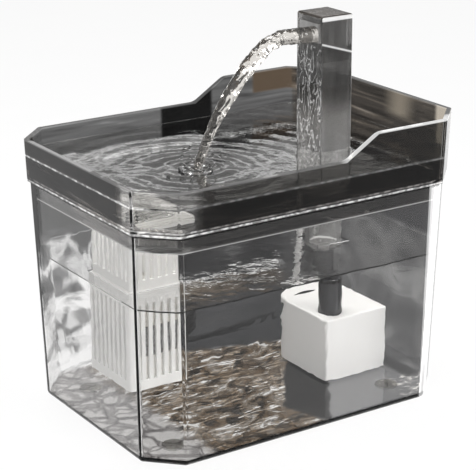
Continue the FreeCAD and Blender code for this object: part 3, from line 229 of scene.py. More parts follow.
# %% One material
class Finish:
    """One material: fields, noises and shaders."""

    def __init__(self, name):
        self.material = bpy.data.materials.new(name)
        self.material.use_nodes = True
        self.tree = self.material.node_tree
        self.tree.nodes.clear()
        self.coordinates = self.add("ShaderNodeTexCoord", output="Object")

    def add(self, kind, settings=None, inputs=None, output=0):
        made = self.tree.nodes.new(kind)
        for key, value in (settings or {}).items():
            if key == "stops":
                self.set_stops(made.color_ramp, value)
            else:
                setattr(made, key, value)
        for key, value in (inputs or {}).items():
            self.feed(made.inputs[key], value)
        return Field(self, made.outputs[output]) if made.outputs else made

    def feed(self, socket, value):
        if isinstance(value, Field):
            self.tree.links.new(value.socket, socket)
        else:
            socket.default_value = value

    def set_stops(self, ramp, stops):
        while len(ramp.elements) < len(stops):
            ramp.elements.new(0.5)
        for element, (position, colour) in zip(ramp.elements, stops):
            element.position = position
            element.color = (*colour, 1)

    def maths(self, operation, *values):
        return self.add("ShaderNodeMath", {"operation": operation}, dict(enumerate(values)))

    def outputs(self, made, *names):
        """A node's outputs by name, as fields."""
        return [Field(self, made.socket.node.outputs[name]) for name in names]

    def place(self):
        """Object coordinates in millimetres, as three fields."""
        made = self.add("ShaderNodeSeparateXYZ", None, {0: self.coordinates})
        return [metres * 1000 for metres in self.outputs(made, "X", "Y", "Z")]

    def rays(self, *kinds):
        """1 for the kinds of ray that are named, such as Camera or Glossy, 0 for the others."""
        path = self.add("ShaderNodeLightPath")
        found = self.outputs(path, *(f"Is {kind} Ray" for kind in kinds))
        return sum(found[1:], found[0]).sum("MINIMUM", 1)

    def noise(self, size, stretch=(1, 1, 1), detail=3.0, roughness=0.55, distortion=0.0,
              move=(0, 0, 0)):
        """Noise whose features are about size millimetres, times stretch along each axis."""
        scaled = self.add("ShaderNodeMapping", None, {
            "Vector": self.coordinates, "Location": move,
            "Scale": [1000 / (size * share) for share in stretch]})
        return self.add("ShaderNodeTexNoise", None, {
            "Vector": scaled, "Scale": 1.0, "Detail": detail, "Roughness": roughness,
            "Distortion": distortion})

    def ramp(self, value, stops):
        return self.add("ShaderNodeValToRGB", {"stops": stops}, {"Fac": value})

    def mix(self, factor, first, second):
        """A colour between two."""
        colours = [value if isinstance(value, Field) else (*value, 1) for value in (first, second)]
        made = self.add("ShaderNodeMix", {"data_type": "RGBA"}, {0: factor}, output=2)
        self.feed(made.socket.node.inputs[6], colours[0])
        self.feed(made.socket.node.inputs[7], colours[1])
        return made

    def bump(self, height, distance):
        """A surface pushed out by up to a distance in millimetres."""
        return self.add("ShaderNodeBump", None,
                        {"Height": height, "Distance": distance * MM, "Strength": 1.0})

    def principled(self, **inputs):
        names = {key.replace("_", " "): value for key, value in inputs.items()}
        for key, value in names.items():
            if isinstance(value, tuple) and len(value) == 3 and "Color" in key:
                names[key] = (*value, 1)
        return self.add("ShaderNodeBsdfPrincipled", None, names)

    def blend(self, factor, first, second):
        made = self.add("ShaderNodeMixShader", None, {0: factor})
        self.feed(made.socket.node.inputs[1], first)
        self.feed(made.socket.node.inputs[2], second)
        return made

    def lamps_pass(self, shader, colour):
        """Lets lamps shine through a clear piece, so that what stands inside is lit."""
        path = self.add("ShaderNodeLightPath", output="Is Shadow Ray")
        clear = self.add("ShaderNodeBsdfTransparent", None, {"Color": (*colour, 1)})
        return self.blend(path, shader, clear)

    def done(self, shader):
        self.add("ShaderNodeOutputMaterial", None, {"Surface": shader})
        return self.material


def wear(material, *names):
    """Gives a finish to pieces or CAD nodes."""
    for name in names:
        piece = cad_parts.get(name) or bpy.data.objects[name]
        piece.data.materials.clear()
        piece.data.materials.append(material)
    print("finish", material.name, "on", ", ".join(names))


# %% [markdown]
# ## Smoked clear plastic
# The tank, tray and tower are moulded in one smoked clear plastic. The light bends in it, so it needs
# a shader that refracts. The smoke isn't even: thick rims and rear walls look darker, with patches and
# streaks from the moulding, and the front is nearly clear. So the tint comes from where a point lies.
# A tint can only darken what is seen through it. Where an edge catches the light in front of something
# dark, a painted highlight does it: a glint, which is a faint glow. In places the tint itself paints
# shade, light and reflections, as noted where each is set. The mirror tint keeps the plastic from looking
# like chrome.

# %% Smoked plastic
PLASTIC_IOR = 1.46
MIRROR_TINT = (0.3, 0.3, 0.3, 1)
GLINT_STRENGTH = 0.75
WALL_SHADE = (0.90, 0.895, 0.885)


def smoked(name, tint, normal=None, glints=None, body=0.0):
    """Clear plastic with a tint. Glints are painted highlights, a faint glow on the edges that catch
    light, and body is how milky it is.
    """
    finish = tint.finish
    inputs = {"Base_Color": tint, "Roughness": 0.0, "IOR": PLASTIC_IOR, "Transmission_Weight": 1.0 - body,
              "Specular_Tint": MIRROR_TINT}
    if glints:
        inputs["Emission_Color"] = finish.mix(glints.sum("MINIMUM", 1), (0, 0, 0), (1, 1, 1))
        inputs["Emission_Strength"] = GLINT_STRENGTH
    if normal:
        inputs["Normal"] = normal
    return finish.done(finish.lamps_pass(finish.principled(**inputs), WALL_SHADE))


# %% [markdown]
# ## Light and stones behind the walls
# Moving water draws bright wavy lines on what lies behind it. They are the edges between Voronoi cells
# whose coordinates a noise has warped. The floor shows blotches like wet stones: a noise through a ramp
# of several tones, because a pattern that repeats would show on so large a surface.

# %% Wavy light and stones
def caustics(finish, size, move=(0, 0, 0)):
    """Bright wavy lines, as light draws them through moving water: the edges between warped cells."""
    bend = finish.noise(size * 1.4, detail=2, move=move)
    scaled = finish.add("ShaderNodeVectorMath", {"operation": "SCALE"},
                        {0: finish.coordinates, "Scale": 1000 / size})
    warp = finish.add("ShaderNodeCombineXYZ", None, {0: bend * 2.4, 1: bend * -1.9, 2: bend * 1.3})
    moved = finish.add("ShaderNodeVectorMath", {"operation": "ADD"}, {0: scaled, 1: warp})
    cells = finish.add("ShaderNodeTexVoronoi", {"feature": "DISTANCE_TO_EDGE"},
                       {"Vector": moved, "Scale": 1.0})
    return cells.below(0.02, 0.16)


def stone_bed(finish):
    """What shows through the tank's floor: brown, dark and white blotches like wet stones."""
    blotches = finish.noise(15, (1.4, 1.0, 1), detail=5, roughness=0.55, distortion=2.0)
    tones = finish.ramp(blotches, [(0.36, (0.010, 0.009, 0.008)), (0.43, (0.05, 0.038, 0.028)),
                                   (0.475, (0.26, 0.18, 0.11)), (0.51, (0.05, 0.043, 0.037)),
                                   (0.545, (0.36, 0.30, 0.24)), (0.58, (0.10, 0.09, 0.08)),
                                   (0.62, (0.80, 0.79, 0.77))])
    # painted glints: white flecks of light over the stones
    glints = finish.noise(8, (2.6, 0.6, 1), detail=3, distortion=1.4)
    return finish.mix(glints.above(0.56, 0.60), tones, (0.98, 0.98, 0.97))


# %% [markdown]
# ## The tank's rear wall
# It is dark slate with soft folds. A bright wavy line runs over a brown band on the right, and wavy white
# light lies behind the filter on the left. The bands follow the height plus a noise, so that they waver.

# %% Rear wall
FILTER_SIDE = (-52, -44)
BAND_LEVELS = (27, 28, 37, 38)
BRIGHT_LINE = 39.5
PALE, LIT_WHITE = (0.85, 0.85, 0.84), (0.98, 0.98, 0.98)


def rear_slate(finish, x, z):
    folds = finish.noise(30, (1.6, 1.6, 0.5), detail=3, distortion=1.1)
    slate = finish.ramp(folds, [(0.30, (0.016, 0.016, 0.017)), (0.48, (0.032, 0.032, 0.034)),
                                (0.60, (0.07, 0.07, 0.072)), (0.74, (0.20, 0.20, 0.20))])
    calm = finish.mix(folds.above(0.3, 0.7), (0.050, 0.051, 0.053), (0.075, 0.076, 0.079))
    slate = finish.mix(z.below(26, 28) * x.above(-46, -40), slate, calm)
    wave = z + finish.noise(16, (1.5, 1, 0.4), detail=3, distortion=0.8) * 12 - 6
    flecks = finish.noise(9, (2.2, 1, 0.5), detail=3, distortion=1.0)
    brown = finish.ramp(flecks, [(0.36, (0.03, 0.026, 0.022)), (0.5, (0.13, 0.10, 0.075)),
                                 (0.62, (0.30, 0.26, 0.21))])
    right_half = x.above(-10, 0)
    low, low_end, high, high_end = BAND_LEVELS
    slate = finish.mix(wave.above(low, low_end) * wave.below(high, high_end) * right_half, slate, brown)
    line = wave.near(BRIGHT_LINE, 2.4) + flecks.near(0.5, 0.05) * 0.5
    slate = finish.mix(line * wave.near(BRIGHT_LINE + 0.5, 6) * right_half * 2, slate, PALE)
    lit = finish.mix(caustics(finish, 21), (0.70, 0.70, 0.70), (0.12, 0.12, 0.12))
    lit = finish.mix(folds.above(0.42, 0.55), lit, LIT_WHITE)
    lines = finish.mix(caustics(finish, 26, (2, 0, 0)) * z.below(82, 85), (0.022, 0.022, 0.023),
                       (0.95, 0.95, 0.95))
    lit = finish.mix((z + folds * 24 - 12).below(48, 52), lines, lit)
    return finish.mix(z.below(84, 87) * x.below(*FILTER_SIDE), slate, lit)


# %% [markdown]
# ## Tank
# Each wall of the tank has its own tones. A wall's mask is a soft step in one coordinate, and a cut
# corner's is a step in the sum or difference of two. The walls lean outwards towards the seam, so the
# masks lean with them. On the floor, the pump's painted shade and the wedge of grey beside it are steps
# too, in directions turned to the view, with a noise that roughens their edges. The walls carry painted
# light and shade as well: a glowing highlight with a painted dark line beside it on the front right cut
# corner, near black above the water on the left of the rear walls, and a near-black band along the top
# under the tray's flange.

# %% Tank
SEAM_LEVEL = 122.3
TANK_LEAN = 3.3 / SEAM_LEVEL
CORNER = 141.0
SHADE_ABOVE_WATER = (0.016, 0.016, 0.016)
FRONT_SMOKE = (0.90, 0.895, 0.89)


def tank_floor(finish, x, y):
    """Stones, wavy light on the left, and flat greys round the pump, among them the pump's painted shade.
    """
    left_bed = finish.mix(caustics(finish, 14), (0.62, 0.61, 0.60), (0.16, 0.15, 0.15))
    bed = finish.mix(x.above(-62, -52), left_bed, stone_bed(finish))
    rough_edge = finish.noise(9, detail=2) * 8 - 4
    across = x * 0.82 - y * 0.572 + rough_edge
    towards = x * -0.572 - y * 0.82 + rough_edge
    # painted shade of the pump on the tank's floor
    pump_shade = across.above(24, 25.5) * (towards - across * 0.74).below(9.5, 12)
    bed = finish.mix(pump_shade, bed, (0.016, 0.016, 0.017))
    bed = finish.mix(across.above(47.5, 49), bed, (0.27, 0.27, 0.275))
    back = (x * 0.272 + y * 0.962 + rough_edge * 0.4).above(53, 54)
    bed = finish.mix(back, bed, (0.060, 0.061, 0.064))
    sparks = finish.noise(6, (1.6, 1, 1), detail=3, distortion=1.2).above(0.52, 0.6)
    bed = finish.mix(x.above(62, 66) * y.below(-40, -34) * sparks, bed, (0.90, 0.88, 0.85))
    return finish.mix(x.above(80, 84) * y.above(-46, -40), bed, (0.10, 0.10, 0.102))


def tank_end_wall(finish, z):
    """The wall at the pump's end, grey with folds, and darker above the water."""
    folds = finish.noise(40, (1, 1, 0.8), detail=3, distortion=1.4, move=(3, 1, 0))
    wall = finish.ramp(folds, [(0.36, (0.10, 0.10, 0.102)), (0.5, (0.15, 0.15, 0.152)),
                               (0.60, (0.24, 0.24, 0.24)), (0.72, (0.15, 0.15, 0.15))])
    return finish.mix(z.above(84, 87), wall, (0.060, 0.060, 0.063))


def tank_plastic():
    finish = Finish("smoked_tank")
    x, y, z = finish.place()
    lean = (SEAM_LEVEL - z) * TANK_LEAN
    rear = (y + lean).above(65.5, 66.5).sum("MAXIMUM", (y - x + lean).above(CORNER - 0.5, CORNER + 0.5))
    right = (x + lean).above(91, 92)
    tint = finish.mix(rear, FRONT_SMOKE, rear_slate(finish, x, z))
    # painted shade: near black above the water on the left of the rear walls, where the painted wavy light
    # below stops
    tint = finish.mix(z.above(86, 90) * rear * x.below(-46, -42), tint, SHADE_ABOVE_WATER)
    tint = finish.mix(right * y.above(-62, -58), tint, tank_end_wall(finish, z))
    tint = finish.mix((x + y + lean).above(CORNER, CORNER + 1), tint, (0.07, 0.07, 0.072))
    tint = finish.mix(z.below(4.2, 5.5), tint, tank_floor(finish, x, y))
    # painted shade: a near-black band along the top of the tank, under the tray's flange
    tint = finish.mix(z.above(SEAM_LEVEL - 1.6, SEAM_LEVEL - 1.2), tint, (0.012, 0.012, 0.012))
    # painted highlight on the front right cut corner: a faint glow on its front part, and a painted dark
    # line on its side part
    pump_corner = (x - y + lean).above(141.2, 141.8)
    corner_glint = pump_corner * (x + y).below(22, 30) * 0.55
    tint = finish.mix(pump_corner * (x + y).above(30, 34), tint, (0.02, 0.02, 0.02))
    waves = finish.noise(26, detail=2, distortion=0.5)
    return smoked("smoked_tank", tint, normal=finish.bump(waves, 0.30), glints=corner_glint)


wear(tank_plastic(), "tank_shell")

# %% [markdown]
# ## Tray
# The tray is darker than the tank. Its walls are streaked lengthwise, brown at the tower's end and nearly
# black on the near side, and a cut corner is almost white. Painted highlights, a faint glow, run along the
# rim, which rises to the tower's end, and along the seam, the water's edge and the nest.

# %% Tray
RIM_LOW, RIM_RISE, RIM_SLOPE, RIM_START = 144.6, 11.9, 0.617, 17
WET_LEVEL = 136.2
NEST_LEVEL = 113.5


def tray_glints(finish, x, y, z, front, left):
    """Painted highlights, a faint glow: the bright lines along the tray's edges."""
    sparkle = finish.noise(2.2, (1.5, 1.5, 1), detail=4).above(0.40, 0.62)
    rim = RIM_LOW + ((x - RIM_START) * RIM_SLOPE).sum("MAXIMUM", 0).sum("MINIMUM", RIM_RISE)
    # painted highlights, a faint glow: lines along the rim, the seam, the water's edge and the nest
    rim_glint = (z - rim).above(-0.9, -0.5) * (0.12 + front * x.above(12, 20) * 0.7)
    seam = z.near(SEAM_LEVEL + 0.7, 0.8) * (0.25 + sparkle * 0.9)
    waterline_glint = z.near(WET_LEVEL, 0.8) * (left * (sparkle * 0.7 + 0.2) + front * (sparkle * 0.15 + 0.08))
    nest_glint = z.near(NEST_LEVEL, 0.5) * (y.below(-62, -60) + x.below(-88, -86)) * 0.5
    return rim_glint + seam + waterline_glint + nest_glint


def tray_plastic():
    finish = Finish("smoked_tray")
    x, y, z = finish.place()
    streaks = finish.noise(19, (3.4, 3.4, 0.2), detail=4, distortion=0.9)
    patches = finish.noise(38, (1, 1, 2.5), detail=1, roughness=0.4, move=(1, 0, 0))
    rear = y.above(62, 66).sum("MAXIMUM", (y - x).above(138, 141)).sum("MAXIMUM", (x + y).above(139, 142))
    right = x.above(84, 88)
    front = y.below(-66, -62)
    left = x.below(-91, -88)
    dark = finish.ramp(streaks, [(0.3, (0.022, 0.020, 0.018)), (0.50, (0.06, 0.054, 0.048)),
                                 (0.62, (0.14, 0.12, 0.10)), (0.75, (0.34, 0.31, 0.28))])
    grey = finish.ramp(streaks, [(0.32, (0.05, 0.05, 0.05)), (0.46, (0.12, 0.12, 0.12)),
                                 (0.60, (0.16, 0.16, 0.16)), (0.72, (0.27, 0.27, 0.27))])
    black_patch = x.above(-6, -4) * x.below(27, 29)
    brown_patch = x.above(55, 57) * z.above(143.5, 145)
    wall = finish.mix(black_patch, grey, (0.010, 0.010, 0.010))
    wall = finish.mix(brown_patch, wall, (0.115, 0.085, 0.06))
    wall = finish.mix(x.above(82, 83), wall, dark)
    tint = finish.mix(rear, (0.42, 0.415, 0.41), wall)
    tan = finish.mix((y + patches * 12).near(-8, 17) * z.above(141, 146), dark, (0.24, 0.21, 0.17))
    tint = finish.mix(right * (x + y).below(139, 142), tint, tan)
    tint = finish.mix((x - y).above(139, 142) * z.above(135, 137), tint, (0.50, 0.45, 0.38))
    near_wall = finish.mix(z.below(134, 137), (0.20, 0.195, 0.185), (0.060, 0.054, 0.048))
    near_wall = finish.mix(left, near_wall, (0.012, 0.010, 0.009))
    near_wall = finish.mix(streaks.above(0.60, 0.70), near_wall, (0.34, 0.32, 0.30))
    near_wall = finish.mix(z.below(124.6, 125.2), near_wall, (0.11, 0.10, 0.095))
    tint = finish.mix(front.sum("MAXIMUM", left), tint, near_wall)
    tint = finish.mix((x + y).below(-141, -137), tint, (0.72, 0.71, 0.70))
    floor = z.below(116.2, 118) * (1 - rear) * (1 - right) * (1 - front) * (1 - left)
    bed = finish.ramp(streaks, [(0.30, (0.12, 0.12, 0.12)), (0.46, (0.34, 0.34, 0.34)),
                                (0.62, (0.60, 0.60, 0.60))])
    bed = finish.mix((x - y * 0.2).near(0, 20) * 1.5, bed, (0.018, 0.016, 0.014))
    tint = finish.mix(floor, tint, bed)
    waves = finish.noise(22, (1.4, 1.4, 0.5), detail=1, distortion=0.4)
    return smoked("smoked_tray", tint, normal=finish.bump(waves, 0.2),
                  glints=tray_glints(finish, x, y, z, front, left))


wear(tray_plastic(), "tray")

# %% [markdown]
# ## Tower and spout head
# The tower is a little milky, pale below, darker above and brown on its top, a painted reflection, with
# upright streaks. Painted highlights, a faint glow, draw a wavy streak of light up its left side, a
# slanted line across its front near the spout head, and lines along the top and right edges of its front.

# %% Tower
PARTING_LEFT, PARTING_FALL = 193.0, 0.31
TOWER_LEFT = 33


def tower_plastic(name):
    finish = Finish(name)
    x, y, z = finish.place()
    streaks = finish.noise(9, (0.5, 0.5, 3.5), detail=4, distortion=0.9)
    deep = finish.ramp(streaks, [(0.3, (0.15, 0.148, 0.145)), (0.5, (0.27, 0.267, 0.263)),
                                 (0.7, (0.40, 0.395, 0.39))])
    pale = finish.ramp(streaks, [(0.3, (0.55, 0.545, 0.54)), (0.5, (0.72, 0.715, 0.71)),
                                 (0.7, (0.90, 0.895, 0.89))])
    tint = finish.mix(z.below(150, 172), deep, pale)
    low_front = y.below(-27.1, -26.9) * x.above(33.3, 33.8) * z.below(148, 162)
    tint = finish.mix(low_front, tint, (0.85, 0.85, 0.85))
    # painted reflection: the top face is brown
    tint = finish.mix(z.above(205.9, 206.3), tint, (0.17, 0.14, 0.115))
    tint = finish.mix(z.below(112, 116), tint, (0.80, 0.80, 0.80))
    squiggle = finish.noise(5, (1, 1, 2.6), detail=2, distortion=1.4).near(0.5, 0.03)
    outer_front = y.below(-27.0, -26.8)
    parting = (z + (x - TOWER_LEFT) * PARTING_FALL).near(PARTING_LEFT, 0.9) * z.above(180, 182)
    # painted highlights, a faint glow: the wavy streak on the left face, the parting line, and the top and
    # right edges of the front
    glints = (x.below(33.1, 33.3) * z.above(124, 126) * z.below(190, 192) * squiggle * 0.6
              + outer_front * parting * 0.9 + outer_front * z.above(204.2, 204.8) * 1.2
              + outer_front * x.above(52.2, 52.5) * z.above(116, 118) * 0.5)
    return smoked(name, tint, normal=finish.bump(streaks, 0.1), glints=glints, body=0.10)


wear(tower_plastic("smoked_tower"), "tower_body", "spout_head")

# %% [markdown]
# ## Drain grille
# The grille is a thin plate of the same plastic with hardly any smoke in it, so two close tones do.

# %% Grille
def grille_plastic():
    finish = Finish("clear_grille")
    grain = finish.noise(12, detail=3)
    tint = finish.ramp(grain, [(0.3, (0.60, 0.60, 0.59)), (0.7, (0.80, 0.80, 0.79))])
    return smoked("clear_grille", tint)


wear(grille_plastic(), "drain_grille")

# %% [markdown]
# ## White mouldings
# The pump cover, filter basket and neck are satin white plastic. Real mouldings aren't one flat white:
# a fine grain catches the light, and the tone drifts a little. A soft bump and two noises do that. What
# stands in the tank is lit through smoked walls, so a faint glow makes up for the light lost in them.
# The leaf slit in the pump's cover is painted nearly black inside, a painted shade, as its sides lie in
# deep shade on the real cover.

# %% White plastic
WHITE_GRAIN = 0.9
SLIT_MIDDLE = (54.7, 16.7)


def satin(finish, dull, tone, glow, dark=None):
    """A tone that drifts, with grain. Where dark is 1, the colour is nearly black, a painted shade."""
    drift = finish.noise(26, detail=2)
    grain = finish.noise(WHITE_GRAIN, detail=2)
    colour = finish.mix(drift.above(0.35, 0.65), dull, tone)
    if dark:
        colour = finish.mix(dark.sum("MINIMUM", 1), colour, (0.03, 0.03, 0.03))
    return finish.done(finish.principled(
        Base_Color=colour, Roughness=0.34 + grain * 0.14, Normal=finish.bump(grain, 0.03),
        Emission_Color=colour, Emission_Strength=glow))


def white_plastic(name, tone, glow=0.0):
    return satin(Finish(name), tuple(value * 0.94 for value in tone), tone, glow)


def cover_plastic():
    finish = Finish("white_cover")
    x, y, z = finish.place()
    # painted shade: the leaf slit is nearly black inside
    slit = x.near(SLIT_MIDDLE[0], 8.6) * y.near(SLIT_MIDDLE[1], 2.6) * 8 * z.below(40.2, 40.4)
    return satin(finish, (0.90, 0.90, 0.895), (0.94, 0.94, 0.935), 0.06, dark=slit)


wear(cover_plastic(), "pump_cover")
wear(white_plastic("white_filter", (0.90, 0.90, 0.89), glow=0.05), "filter_basket", "filter_neck")
wear(white_plastic("white_base", (0.86, 0.86, 0.85)), "pump_base")
wear(white_plastic("white_impeller", (0.82, 0.82, 0.80)), "impeller")
wear(white_plastic("white_tie", (0.88, 0.88, 0.87)), "coil_tie")

# %% [markdown]
# ## Small finishes
# The other pieces are rubber, black plastic, metal and fibre. Each has its own grain, because a single
# colour looks like a toy even on a piece that is seen for a moment through a slot.

# %% Small finishes
def plain(name, low, high, size, roughness, bump=0.03, metallic=0.0, stretch=(1, 1, 1), sheen=0.5):
    """A finish of two tones, with a grain of the given size in millimetres."""
    finish = Finish(name)
    grain = finish.noise(size, stretch, detail=4)
    colour = finish.mix(grain.above(0.38, 0.62), low, high)
    rough = roughness * 0.85 + grain * (roughness * 0.3)
    return finish.done(finish.principled(
        Base_Color=colour, Roughness=rough, Metallic=metallic, Specular_IOR_Level=sheen,
        Normal=finish.bump(grain, bump)))


def silicone(name, tone):
    finish = Finish(name)
    grain = finish.noise(4, detail=3)
    colour = finish.mix(grain.above(0.4, 0.6), tone, tuple(value * 0.9 for value in tone))
    shader = finish.principled(Base_Color=colour, Roughness=0.32 + grain * 0.1, IOR=1.41,
                               Transmission_Weight=0.6)
    return finish.done(finish.lamps_pass(shader, (0.7, 0.7, 0.69)))


SHEET_THICKNESS, WIRE_THICKNESS = 0.5, 0.4


def laminations():
    finish = Finish("core_steel")
    _, y, _ = finish.place()
    sheets = (y * (2 * math.pi / SHEET_THICKNESS)).sine()
    grain = finish.noise(2, (6, 1, 1), detail=3)
    colour = finish.mix(grain.above(0.4, 0.6), (0.42, 0.42, 0.43), (0.60, 0.60, 0.61))
    return finish.done(finish.principled(Base_Color=colour, Metallic=1.0, Roughness=0.35 + grain * 0.1,
                                         Normal=finish.bump(sheets, 0.08)))


def winding():
    finish = Finish("copper_winding")
    _, _, z = finish.place()
    turns = (z * (2 * math.pi / WIRE_THICKNESS)).sine()
    grain = finish.noise(3, detail=2)
    colour = finish.mix(grain.above(0.4, 0.6), (0.50, 0.20, 0.08), (0.68, 0.32, 0.15))
    return finish.done(finish.principled(Base_Color=colour, Metallic=0.85, Roughness=0.3 + grain * 0.1,
                                         Normal=finish.bump(turns, 0.1)))


# %% [markdown]
# Each small piece takes its finish from two tones, the size of its grain in millimetres and its
# roughness. The outlet tube's noise is stretched, which gives it upright streaks.

# %% Finishes of the small pieces
wear(silicone("clear_silicone", (0.86, 0.86, 0.85)), "foot_pads", "suction_cups", "tower_seal",
     "cord_grommet")
wear(plain("black_silicone", (0.012, 0.012, 0.013), (0.03, 0.03, 0.032), 1.2, 0.4), "feed_hose",
     "volute_seal", "shaft_bushes")
wear(plain("black_moulding", (0.02, 0.02, 0.022), (0.05, 0.05, 0.053), 0.8, 0.42), "volute_housing",
     "volute_cover", "motor_housing")
wear(plain("dark_tube", (0.003, 0.003, 0.003), (0.03, 0.03, 0.03), 4.0, 0.16, stretch=(0.35, 0.35, 6),
           sheen=0.16), "pump_outlet")
wear(plain("potting", (0.03, 0.025, 0.02), (0.07, 0.06, 0.05), 5, 0.2), "potting_block")
wear(plain("ferrite", (0.06, 0.06, 0.063), (0.12, 0.12, 0.125), 0.6, 0.6, metallic=0.3), "rotor_magnet")
wear(plain("ceramic", (0.86, 0.85, 0.82), (0.93, 0.92, 0.90), 2, 0.18), "rotor_shaft")
wear(laminations(), "stator_core")
wear(winding(), "stator_coil")
wear(plain("cable_jacket", (0.80, 0.80, 0.80), (0.90, 0.90, 0.90), 2.2, 0.42), "usb_lead", "cable_gland")
wear(plain("plug_white", (0.88, 0.88, 0.88), (0.94, 0.94, 0.94), 2.5, 0.3), "usb_overmould", "usb_tongue")
wear(plain("nickel", (0.66, 0.66, 0.68), (0.80, 0.80, 0.82), 1.5, 0.24, metallic=1.0,
           stretch=(5, 1, 1)), "usb_shell")
wear(plain("gold", (0.75, 0.50, 0.18), (0.92, 0.70, 0.32), 1.0, 0.22, metallic=1.0), "usb_contacts")
wear(plain("blue_sponge", (0.10, 0.16, 0.24), (0.22, 0.30, 0.40), 1.1, 0.9, bump=0.3), "intake_sponge")
wear(plain("cotton", (0.82, 0.81, 0.78), (0.94, 0.93, 0.90), 0.9, 0.95, bump=0.25), "filter_cotton")
wear(plain("carbon_pouch", (0.20, 0.20, 0.20), (0.38, 0.38, 0.38), 1.4, 0.7, bump=0.4), "carbon_pack")
wear(plain("resin_pouch", (0.62, 0.60, 0.56), (0.82, 0.80, 0.76), 0.9, 0.35, bump=0.3), "resin_pack")

# %% [markdown]
# ## Modelling helpers
# Every new piece starts as a primitive, is shaped in edit mode and gets its modifiers applied. An operator
# acts on whatever is selected, so each step first deselects everything and then picks its faces in code.

# %% Helpers
def only(*things):
    """Selects these things and nothing else, in object mode."""
    if bpy.context.object and bpy.context.object.mode != "OBJECT":
        bpy.ops.object.mode_set(mode="OBJECT")
    bpy.ops.object.select_all(action="DESELECT")
    for thing in things:
        thing.select_set(True)
    bpy.context.view_layer.objects.active = things[0]


def edit_all(thing):
    """Starts edit mode with the whole mesh selected."""
    only(thing)
    bpy.ops.object.mode_set(mode="EDIT")
    bpy.ops.mesh.select_all(action="SELECT")


def share_between(value, low, high):
    """0 up to low, 1 from high on."""
    return max(0.0, min(1.0, (value - low) / (high - low)))


def triangles(thing):
    return sum(len(face.vertices) - 2 for face in thing.data.polygons)


def apply_place(thing):
    only(thing)
    bpy.ops.object.transform_apply(location=True, rotation=True, scale=True)


def apply_modifier(thing, kind, **settings):
    only(thing)
    made = thing.modifiers.new(kind.lower(), kind)
    for key, value in settings.items():
        setattr(made, key, value)
    bpy.ops.object.modifier_apply(modifier=made.name)


def smooth(thing, angle=40):
    only(thing)
    bpy.ops.object.shade_smooth_by_angle(angle=math.radians(angle))


def join(name, things):
    only(*things)
    if len(things) > 1:
        bpy.ops.object.join()
    things[0].name = name
    return things[0]


def add_piece(thing, body, slot, *replaced):
    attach(thing, body)
    if replaced:
        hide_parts(*replaced)
    print(thing.name, "on", body, "triangles", triangles(thing))


# %% [markdown]
# ## Hose
# Between the stem and the pump's outlet sits a black silicone hose with a collar on the stem and a domed
# foot over the outlet tube. It is one moulding with a waist, so it is a curve whose radius changes along
# its line, made a mesh and smoothed.

# %% Hose piece
HOSE_LINE = [
    ((43, -16, 78.9), 5.6), ((43, -16, 78.4), 5.9), ((43, -16, 74), 6.0), ((43, -16, 69.5), 6.0),
    ((43, -16, 67.2), 5.9), ((43.1, -16, 66.2), 4.6), ((43.4, -15.9, 65.6), 2.9), ((45, -15.7, 64.4), 2.5),
    ((47, -15.3, 63), 2.5), ((48.7, -15.1, 61.9), 2.8), ((49, -15, 61.3), 4.6), ((49, -15, 60.2), 5.9),
    ((49, -15, 58), 6.35), ((49, -15, 56), 6.45), ((49, -15, 50), 6.45), ((49, -15, 43), 6.45),
    ((49, -15, 41.2), 6.4),
]


def tapered_tube(name, line, steps=10):
    """A closed mesh tube from places and radii."""
    only(nurbs_tube(name, line, steps, roundness=12))
    bpy.ops.object.convert(target="MESH")
    tube = bpy.context.object
    edit_all(tube)
    bpy.ops.mesh.remove_doubles(threshold=0.01 * MM)
    bpy.ops.mesh.normals_make_consistent(inside=False)
    bpy.ops.object.mode_set(mode="OBJECT")
    return tube


hose = tapered_tube("outlet_hose", HOSE_LINE)
smooth(hose, 50)
wear(bpy.data.materials["dark_tube"], "outlet_hose")
add_piece(hose, "base", "black_silicone", "feed_hose")

# %% [markdown]
# ## Water
# The water is what moves on this object, and it carries most of the sparkle. A ripple is a real change of
# height, so the surface is a fine grid pushed up and down by two textures: rings that spread from the
# place where the stream lands, and small waves without order. An empty sets the size and middle of the
# rings, because a wood texture has one ring in about a third of its unit.
# Each surface is a thin clear sheet. Full depth of water would move what is seen through it, but the
# pieces already stand where the picture shows them.

# %% Water surfaces
TRAY_WATER_LEVEL = 136.0
TANK_WATER_LEVEL = 84.0
LANDING = Vector((-35, -16, TRAY_WATER_LEVEL))
SHEET = 0.7
RING_UNIT = 3.18
TOWER_HOLE = (32.8, -27.45, 130), (53.2, -4.55, 142)
FILTER_HOLE = (-84.3, -31.3, 80), (-52.7, 10.3, 88)
STEM_HOLE = (33.1, -25.9, 80), (52.9, -6.1, 88)
LEAD_HOLE = (71.2, 45.6, 80), (76, 50.6, 88)


def cloud_texture(name, size):
    texture = bpy.data.textures.new(name, "CLOUDS")
    texture.noise_scale = size * MM
    texture.noise_depth = 2
    return texture


def ring_texture(name):
    texture = bpy.data.textures.new(name, "WOOD")
    texture.wood_type = "RINGNOISE"
    texture.noise_basis_2 = "SIN"
    texture.noise_scale = 0.6
    texture.turbulence = 1.6
    return texture


def ring_middle(place, wavelength):
    bpy.ops.object.empty_add(location=place * MM)
    middle = bpy.context.object
    middle.scale = (wavelength * RING_UNIT * MM,) * 3
    bpy.context.view_layer.update()
    return middle


